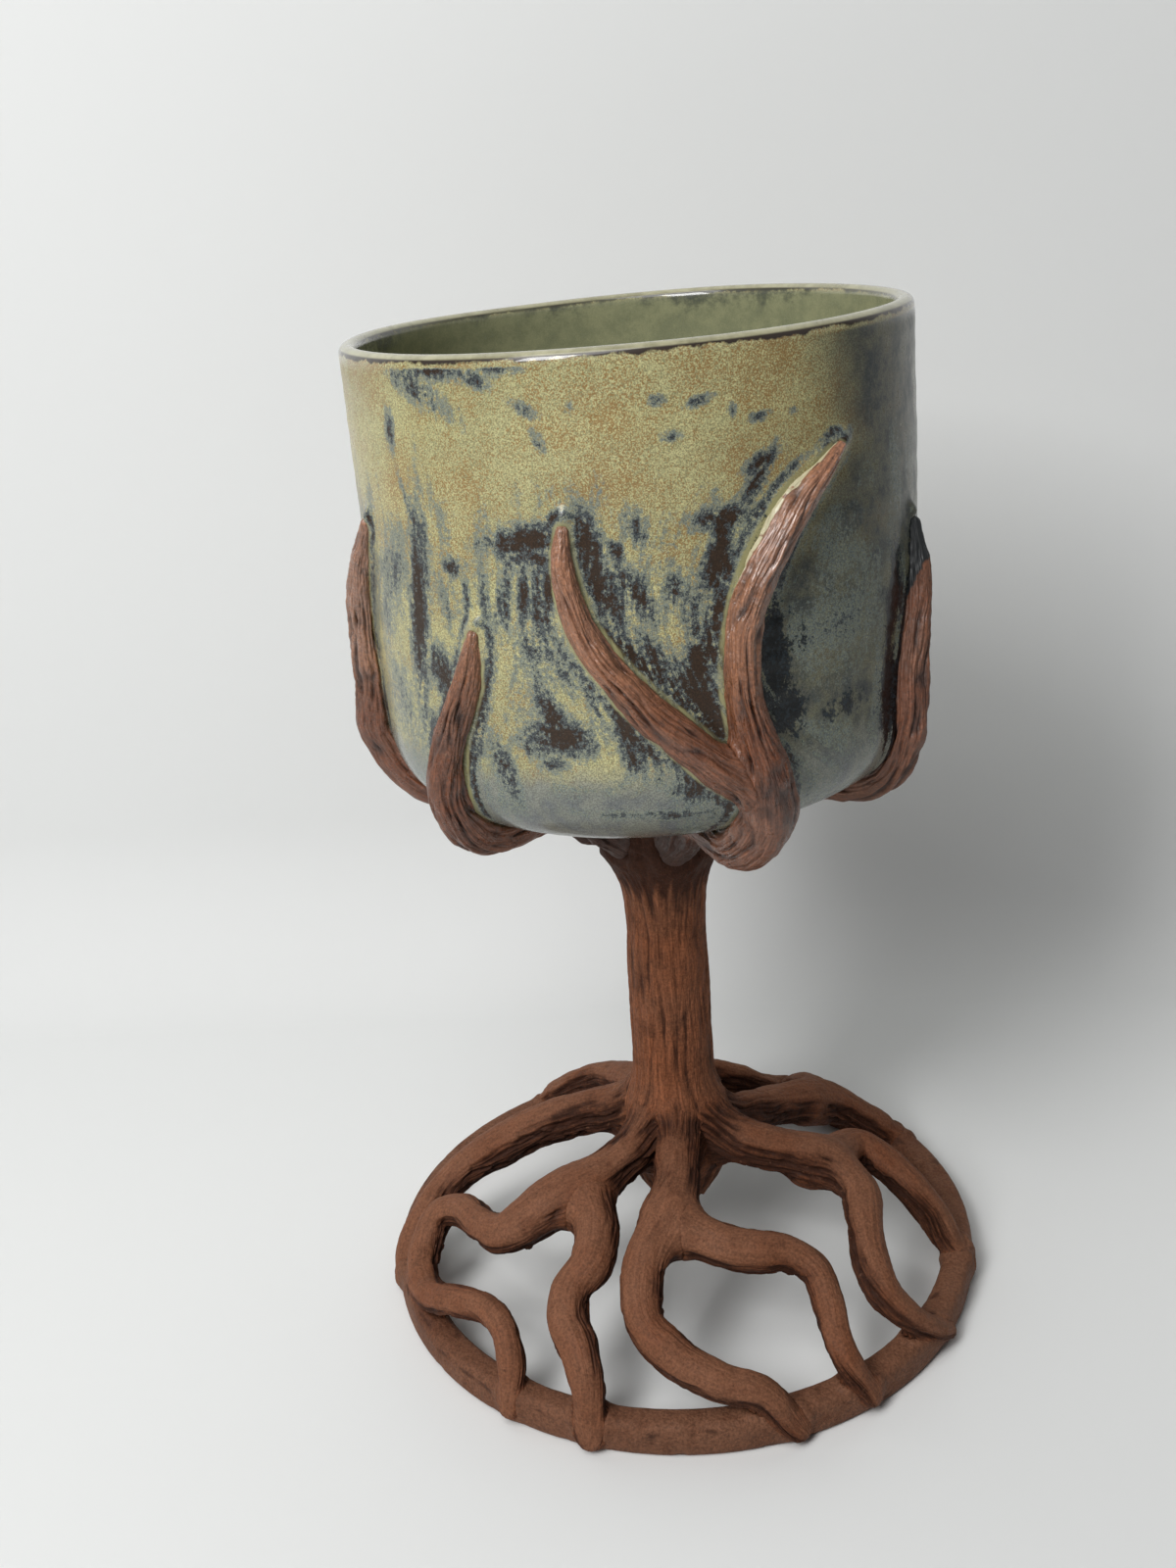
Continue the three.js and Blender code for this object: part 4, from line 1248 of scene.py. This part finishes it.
def clay_layers(finish, colours, body):
    """Colour, roughness and relief of bare clay: mottled body, paler tops, painted shade in furrows and
    cracks, sand.
    """
    fold, side = finish.field("fold"), finish.field("side")
    broad, patch = finish.cloud(60, 3, 0.6), finish.cloud(260, 4, 0.6)
    sand, crumb = finish.cloud(2300, 2, 0.6), finish.cloud(900, 3, 0.6)
    lines = finish.cloud(1500, 2, 0.6, "grain")
    crack = finish.times(finish.times(finish.step(lines, 0.42, 0.5), finish.step(lines, 0.58, 0.5)), side)
    # Paler clay mixed in at random, more on the tops than on the sides
    pale_share = finish.sum(finish.sum(broad, patch, 0.5), side, -0.3)
    tint = finish.mix(finish.step(pale_share, 0.35, 0.85, 0, 0.65), body, colours.clay_dust)
    tint = finish.mix(finish.step(patch, 0.5, 0.76, 0, 0.6), tint, colours.clay_patch)
    # Painted shade: folds and creases, and the cracks below, are painted darker, along with the grain
    dark = finish.step(finish.sum(finish.sum(fold, crumb, 0.3), lines, 0.35), 0.36, 0.92, 0, 0.85)
    tint = finish.mix(dark, tint, colours.clay_shade_and_specks)
    tint = finish.mix(finish.times(crack, 0.4), tint, colours.clay_shade_and_specks)
    tint = finish.shade(tint, finish.step(finish.sum(sand, lines, 0.6), 0.5, 1.1, 0.66, 1.3))
    tint = finish.mix(finish.step(finish.cloud(1500, 1, 0.5), 0.68, 0.78, 0, 0.45), tint, colours.clay_shade_and_specks)
    tint = finish.mix(finish.step(finish.cloud(1250, 1, 0.5), 0.69, 0.77, 0, 0.35), tint, colours.clay_dust)
    rough = finish.step(finish.sum(patch, sand, 0.4), 0.4, 0.95, 0.58, 0.78)
    relief = finish.bump(crumb, 0.6, 0.4 * MM)
    relief = finish.bump(finish.sum(lines, crack, -0.35), 0.6, 0.4 * MM, relief)
    relief = finish.bump(sand, 0.35, 0.12 * MM, relief)
    return tint, rough, relief


def clay_finish(name, colours, body):
    """Bare red stoneware."""
    finish = Finish(name)
    finish.set("Specular IOR Level", 0.18)
    return finish.done(*clay_layers(finish, colours, body))


def branch_finish(colours):
    """Stoneware of the branches: plain at the trunk, coppery and paler higher up, glassy where glaze took.

    Umber glaze edges the hugging side, pale glaze and a painted highlight lap one flank, and dark glass
    coats one tip.
    """
    finish = Finish("branch clay")
    climb, bare = finish.field("climb"), finish.field("bare")
    # Paler higher up: partly the copper tint, partly painted sheen
    body = finish.mix(finish.step(climb, 0.03, 0.4), colours.copper, colours.blush_and_sheen)
    body = finish.mix(bare, body, colours.clay)
    tint, rough, relief = clay_layers(finish, colours, body)
    drip = finish.cloud(330, 3, 0.6)
    edge = finish.step(finish.sum(finish.field("hug"), drip, 0.3), 0.8, 0.92)
    dip = finish.step(finish.sum(finish.field("dip"), drip, 1.2), 1.05, 1.2)
    # Pale glaze on one flank, partly a painted highlight
    lap_and_highlight = finish.step(finish.sum(finish.field("lap_and_highlight"), drip, 2.4), 1.85, 2.05)
    tint = finish.mix(edge, tint, colours.umber)
    tint = finish.mix(dip, tint, colours.pool)
    tint = finish.mix(lap_and_highlight, tint, colours.lap_and_highlight)
    glass = finish.most(finish.most(edge, lap_and_highlight), dip)
    rough = finish.sum(finish.sum(rough, glass, -0.12), finish.step(drip, 0.35, 0.6, 0.24, 0.4), -1.0)
    rough = finish.sum(rough, bare, 0.3)
    smooth = finish.node("ShaderNodeNewGeometry").outputs["Normal"]
    relief = finish.mix(finish.times(glass, 0.85), relief, smooth)
    finish.set("Specular IOR Level", 0.7)
    finish.set("Coat Weight", finish.step(finish.sum(climb, drip, 0.5), 0.45, 0.75, 0, 0.8))
    finish.set("Coat Roughness", 0.22)
    return finish.done(tint, rough, relief)


class Glaze(Finish):
    """The cup's glaze under construction, with the fields and clouds that its layers share."""

    def __init__(self, colours):
        super().__init__("cup glaze")
        self.colours = colours
        self.thin, self.pool, self.rise = self.field("thin"), self.field("pool"), self.field("rise")
        self.cool, self.inner, self.gap = self.field("cool"), self.field("inner"), self.field("gap")
        self.broad, self.mottle = self.cloud(26, 2, 0.5), self.cloud(230, 5, 0.7)
        self.streak, self.clump = self.cloud(620, 3, 0.6, "flow"), self.cloud(1300, 5, 0.75)
        self.worm, self.speck = self.cloud(4600, 2, 0.65), self.cloud(3900, 2, 0.65)
        self.grit = self.step(self.worm, 0.37, 0.63, 0.7, 1.24)

    def body(self):
        """Speckled olive and straw with iron specks, more of them towards the rim."""
        tint = self.mix(self.step(self.broad, 0.38, 0.66), self.colours.olive, self.colours.straw)
        speckle = self.sum(self.times(self.worm, 0.8), self.clump, 0.2)
        tint = self.shade(tint, self.step(speckle, 0.37, 0.63, 0.54, 1.34))
        iron = self.sum(self.cloud(110, 3, 0.6), self.speck, 2.2)
        iron = self.sum(iron, self.step(self.rise, 0.1, 0.8), 0.16)
        return self.mix(self.step(iron, 1.7, 1.95, 0, 0.8), tint, self.colours.rust)

    def cool_side(self, tint):
        """Dusk over the side turned from the key lamp: grey-green glaze, partly painted shade."""
        clouds = self.step(self.sum(self.mottle, self.clump, 0.7), 0.76, 1.02)
        dusk_and_shade = self.mix(clouds, self.colours.dusk_and_shade, self.colours.dusk_deep_and_shade)
        dusk_and_shade = self.shade(dusk_and_shade, self.step(self.worm, 0.34, 0.66, 0.7, 1.25))
        return self.mix(self.times(self.cool, self.step(self.mottle, 0.3, 0.62, 0.75, 1.0)), tint, dusk_and_shade)

    def bottom(self, tint):
        """Mist where the glaze gathered at the bottom corner, painted shade below it; also gives its
        extent.
        """
        low = self.sum(self.sum(self.rise, self.streak, 0.1), self.mottle, 0.12)
        low = self.step(low, 0.17, 0.07)
        streaks = self.step(self.sum(self.streak, self.mottle), 0.85, 1.15)
        mist = self.shade(self.mix(streaks, self.colours.mist, self.colours.mist_deep), self.grit)
        tint = self.mix(low, tint, mist)
        # Painted shade: the underside below the corner is painted darker
        under = self.step(self.sum(self.rise, self.streak, 0.06), -0.08, -0.19, 0, 0.75)
        return self.mix(under, tint, self.colours.under), low

    def thin_places(self, tint):
        """Ash, then slate, then umber as the glaze thins; also gives the extent of the umber."""
        colours = self.colours
        uneven = self.sum(self.sum(self.sum(-1.45, self.streak, 1.0), self.mottle, 0.4), self.clump, 1.5)
        ragged = self.times(self.thin, self.sum(1.0, uneven, 2.4))
        ash = self.mix(self.step(self.speck, 0.42, 0.6), colours.ash, colours.ash_pale)
        tint = self.mix(self.step(ragged, 0.16, 0.28, 0, 0.9), tint, self.shade(ash, self.grit))
        slate = self.mix(self.step(self.speck, 0.38, 0.6), colours.slate, colours.slate_pale)
        tint = self.mix(self.step(ragged, 0.36, 0.46), tint, self.shade(slate, self.grit))
        bare = self.step(ragged, 0.6, 0.7)
        umber = self.mix(self.step(self.speck, 0.42, 0.6), colours.umber, colours.umber_pale)
        return self.mix(bare, tint, umber), bare

    def pools(self, tint):
        """A pale bead along the branches, partly painted light, lost on the cooler side, and dark glass.

        Also gives the bead, its lit part and the glass.
        """
        bead = self.step(self.sum(self.gap, self.mottle, 0.8), 1.25, 0.8)
        # The pale bead shows only on the lit side, as painted light
        lit = self.times(bead, self.sum(1.0, self.cool, -1.0))
        shown = self.times(lit, self.step(self.streak, 0.4, 0.6, 0.3, 1.0))
        tint = self.mix(shown, tint, self.colours.bead)
        # On the cooler side the glaze along the branches turns to dark glass, partly as painted shade
        deep = self.sum(self.pool, self.times(bead, self.cool), 0.6)
        deep = self.sum(self.sum(self.sum(deep, self.mottle, 0.8), self.streak, 0.7), self.clump, 1.2)
        glassy = self.step(deep, 1.85, 2.05)
        glass = self.mix(self.step(self.clump, 0.46, 0.64), self.colours.pool, self.colours.pool_pale)
        return self.mix(glassy, tint, glass), bead, lit, glassy

    def lip(self, tint):
        """A dark line below the lip, grey and partly painted shade on the cooler side, and a pale edge on
        it.
        """
        colours = self.colours
        brim = self.sum(self.sum(self.rise, self.streak, 0.012), self.mottle, 0.04)
        line = self.mix(self.cool, colours.umber, colours.lip_line_and_shade)
        tint = self.mix(self.step(brim, 1.006, 1.012), tint, line)
        edge = self.mix(self.step(self.mottle, 0.35, 0.65), colours.lip, colours.lip_pale)
        return self.mix(self.step(self.rise, 0.988, 0.993), tint, edge)

    def bowl(self, tint):
        """The inside, stained by smoke below the lip; also gives its extent."""
        bowl = self.mix(self.step(self.mottle, 0.35, 0.65), self.colours.inside, self.colours.inside_deep)
        bowl = self.shade(bowl, self.step(self.worm, 0.3, 0.7, 0.9, 1.08))
        smoke = self.sum(self.sum(self.rise, self.mottle, 0.25), self.broad, 0.35)
        bowl = self.mix(self.step(smoke, 1.27, 1.34, 0, 0.8), bowl, self.colours.smoke)
        inward = self.times(self.inner, self.step(self.rise, 0.995, 0.975))
        return self.mix(inward, tint, bowl), inward


def glaze_finish(colours):
    """Glaze of the cup: speckled olive that breaks to ash, slate and umber where thin and pools dark."""
    glaze = Glaze(colours)
    tint, low = glaze.bottom(glaze.cool_side(glaze.body()))
    tint, bare = glaze.thin_places(tint)
    tint, bead, lit, glassy = glaze.pools(tint)
    tint, inward = glaze.bowl(glaze.lip(tint))
    rough = glaze.sum(glaze.step(glaze.mottle, 0.35, 0.7, 0.27, 0.4), bare, 0.1)
    rough = glaze.sum(glaze.sum(rough, glaze.most(glassy, bead), -0.18), glaze.most(inward, low), -0.1)
    relief = glaze.bump(glaze.sum(glaze.mottle, bare, -0.5), 0.25, 0.25 * MM)
    relief = glaze.bump(glaze.worm, 0.14, 0.08 * MM, relief)
    shine = glaze.most(glaze.step(glaze.rise, 0.95, 0.98, 0.12, 0.9), glaze.times(lit, 0.6))
    glaze.set("Specular IOR Level", 0.3)
    glaze.set("Coat Weight", shine)
    glaze.set("Coat Roughness", 0.06)
    return glaze.done(tint, rough, relief)


def stage_finish(colours):
    """Matt pale paper, clear from behind so that the backdrop never hides the chalice."""
    finish = Finish("stage paper")
    finish.set("Roughness", 0.9)
    finish.set("Specular IOR Level", 0.1)
    finish.set("Base Color", (*colours.stage, 1))
    clear = finish.node("ShaderNodeBsdfTransparent").outputs[0]
    side = finish.node("ShaderNodeNewGeometry").outputs["Backfacing"]
    both = finish.node("ShaderNodeMixShader", {0: side, 1: finish.skin.outputs[0], 2: clear})
    finish.feed(finish.tree.nodes["Material Output"].inputs["Surface"], both.outputs[0])
    return finish.material


# Operators


def root_lines(sizes):
    """Middle lines of all roots."""
    return {name: smooth_line(root_stations(route, sizes.root_thickness), ROOT_STEP)
            for name, route in ROOTS.items()}


def branch_lines(sizes):
    """Middle lines of all branches."""
    thickness = sizes.branch_thickness
    return {name: smooth_line(branch_stations(route, thickness, name in GROWS_FROM), BRANCH_STEP)
            for name, route in BRANCHES.items()}


def sparse(lines):
    """Lines with only the stations that gaps are read from."""
    return {name: line[::SPARSE] for name, line in lines.items()}


class MakeStage(bpy.types.Operator):
    """Lay the paper sweep and set the lamps and the camera"""

    bl_idname = "chalice.stage"
    bl_label = "Stage"

    def execute(self, context):
        scene = context.scene
        scene.view_settings.view_transform = "Standard"
        finish = stage_finish(scene.chalice_colours)
        self.lay_paper("floor", finish, np.array([-PAPER_REACH, PAPER_REACH]), np.zeros(2))
        bend = np.linspace(0, np.pi / 2, SWEEP_ROWS)
        sweep = WALL_BACK - WALL_FOLD + WALL_FOLD * np.sin(bend)
        climb = LIFT_OFF + WALL_FOLD - WALL_FOLD * np.cos(bend)
        self.lay_paper("backdrop", finish, np.append(sweep, WALL_BACK), np.append(climb, WALL_HEIGHT))
        for name, (place, aim, size, power) in LAMPS.items():
            self.hang_lamp(name, place, aim, size, power)
        self.light_room(scene)
        self.set_camera(scene)
        return {"FINISHED"}

    @staticmethod
    def lay_paper(name, finish, depth, height):
        """Paper: a line of depths and heights carried sideways."""
        x, y = np.meshgrid(np.linspace(-PAPER_REACH, PAPER_REACH, 3), depth)
        points = np.stack([x, y, np.broadcast_to(height[:, None], x.shape)], axis=-1)
        index = np.arange(x.size).reshape(x.shape)
        quads = np.stack([index[:-1, :-1], index[:-1, 1:], index[1:, 1:], index[1:, :-1]], axis=-1)
        mesh = bpy.data.meshes.new(name)
        mesh.from_pydata(points.reshape(-1, 3), [], quads.reshape(-1, 4).tolist())
        mesh.shade_smooth()
        mesh.materials.append(finish)
        paper = bpy.data.objects.new(name, mesh)
        bpy.context.scene.collection.objects.link(paper)

    @staticmethod
    def hang_lamp(name, place, aim, size, power):
        """A soft lamp of a width and height at a place, turned to an aim."""
        lamp = bpy.data.lights.new(name, "AREA")
        lamp.shape = "RECTANGLE"
        lamp.size, lamp.size_y = size
        lamp.energy = power
        hung = bpy.data.objects.new(name, lamp)
        hung.location = place
        hung.rotation_euler = (Vector(place) - Vector(aim)).to_track_quat("Z", "Y").to_euler()
        bpy.context.scene.collection.objects.link(hung)

    @staticmethod
    def light_room(scene):
        """Even pale light from the room, which looks brighter than it shines."""
        world = bpy.data.worlds.new("room")
        world.use_nodes = True
        tree = world.node_tree
        ray = tree.nodes.new("ShaderNodeLightPath").outputs

        def either(first, second):
            made = tree.nodes.new("ShaderNodeMath")
            made.operation = "MAXIMUM"
            tree.links.new(first, made.inputs[0])
            tree.links.new(second, made.inputs[1])
            return made.outputs[0]

        mirrored = either(ray["Is Glossy Ray"], ray["Is Transmission Ray"])
        level = tree.nodes.new("ShaderNodeMapRange")
        level.inputs["To Min"].default_value = ROOM_LIGHT
        level.inputs["To Max"].default_value = ROOM_SEEN
        tree.links.new(either(ray["Is Camera Ray"], mirrored), level.inputs["Value"])
        glow = tree.nodes["Background"]
        glow.inputs["Color"].default_value = ROOM_TINT
        tree.links.new(level.outputs["Result"], glow.inputs["Strength"])
        scene.world = world

    @staticmethod
    def set_camera(scene):
        """Camera a little above the rim, looking down at the front."""
        lens = bpy.data.cameras.new("camera")
        lens.lens = CAMERA_LENS
        lens.sensor_width = CAMERA_SENSOR
        camera = bpy.data.objects.new("camera", lens)
        camera.location = CAMERA_PLACE
        camera.rotation_euler = np.radians(CAMERA_TURN).tolist()
        scene.collection.objects.link(camera)
        scene.camera = camera


class MakeCup(bpy.types.Operator):
    """Throw and glaze the cup"""

    bl_idname = "chalice.cup"
    bl_label = "Cup"

    def execute(self, context):
        sizes, colours = context.scene.chalice_sizes, context.scene.chalice_colours
        grid, fields = cup_surface(sparse(branch_lines(sizes)), sizes)
        seat(make_piece("glazed_cup", grid, fields), "cup", glaze_finish(colours))
        return {"FINISHED"}


class MakeTrunk(bpy.types.Operator):
    """Model the trunk"""

    bl_idname = "chalice.trunk"
    bl_label = "Trunk"

    def execute(self, context):
        sizes, colours = context.scene.chalice_sizes, context.scene.chalice_colours
        grid, fields = trunk_surface(sparse(root_lines(sizes)), sparse(branch_lines(sizes)), sizes)
        finish = clay_finish("trunk clay", colours, colours.clay_trunk)
        seat(make_piece("clay_trunk", grid, fields), "trunk", finish)
        return {"FINISHED"}


class MakeFootRing(bpy.types.Operator):
    """Roll the foot ring"""

    bl_idname = "chalice.foot_ring"
    bl_label = "Foot ring"

    def execute(self, context):
        sizes, colours = context.scene.chalice_sizes, context.scene.chalice_colours
        grid, fields = ring_surface(sparse(root_lines(sizes)), sizes)
        finish = clay_finish("ring clay", colours, colours.clay_ring)
        seat(make_piece("clay_foot_ring", grid, fields, closed=True), "foot_ring", finish)
        return {"FINISHED"}


class MakeRoots(bpy.types.Operator):
    """Roll the roots and lay them from the trunk to the ring"""

    bl_idname = "chalice.roots"
    bl_label = "Roots"

    def execute(self, context):
        sizes, colours = context.scene.chalice_sizes, context.scene.chalice_colours
        lines = root_lines(sizes)
        others = sparse(lines)
        finish = clay_finish("root clay", colours, colours.clay)
        for seed, name in enumerate(ROOTS, ROOT_SEED):
            grid, fields = root_surface(name, seed, {**others, name: lines[name]}, sizes)
            seat(make_piece(f"clay_{name}", grid, fields), name, finish)
        return {"FINISHED"}


class MakeBranches(bpy.types.Operator):
    """Roll the branches and press them to the cup"""

    bl_idname = "chalice.branches"
    bl_label = "Branches"

    def execute(self, context):
        sizes, colours = context.scene.chalice_sizes, context.scene.chalice_colours
        lines = branch_lines(sizes)
        others = sparse(lines)
        finish = branch_finish(colours)
        for seed, name in enumerate(BRANCHES, BRANCH_SEED):
            grid, fields = branch_surface(name, seed, {**others, name: lines[name]}, sizes)
            seat(make_piece(f"clay_{name}", grid, fields), name, finish)
        return {"FINISHED"}


class ChalicePanel(bpy.types.Panel):
    """Lists the pieces of the chalice and what can be changed"""

    bl_idname = "VIEW3D_PT_chalice"
    bl_label = "Chalice"
    bl_space_type = "VIEW_3D"
    bl_region_type = "UI"
    bl_category = "Chalice"

    def draw(self, context):
        for group in (context.scene.chalice_sizes, context.scene.chalice_colours):
            for name in group.__annotations__:
                self.layout.prop(group, name)
        for maker in MAKERS:
            self.layout.operator(maker.bl_idname)


MAKERS = (MakeStage, MakeCup, MakeTrunk, MakeFootRing, MakeRoots, MakeBranches)
CLASSES = (ChaliceSizes, ChaliceColours, *MAKERS, ChalicePanel)


def register():
    """Adds the classes and the settings to Blender."""
    for kind in CLASSES:
        bpy.utils.register_class(kind)
    bpy.types.Scene.chalice_sizes = PointerProperty(type=ChaliceSizes)
    bpy.types.Scene.chalice_colours = PointerProperty(type=ChaliceColours)


def unregister():
    """Takes them out again."""
    del bpy.types.Scene.chalice_colours
    del bpy.types.Scene.chalice_sizes
    for kind in reversed(CLASSES):
        bpy.utils.unregister_class(kind)


def main():
    """Makes the stage and the pieces."""
    register()
    bpy.ops.chalice.stage()
    bpy.ops.chalice.cup()
    bpy.ops.chalice.trunk()
    bpy.ops.chalice.foot_ring()
    bpy.ops.chalice.roots()
    bpy.ops.chalice.branches()


if __name__ == "__main__":
    main()
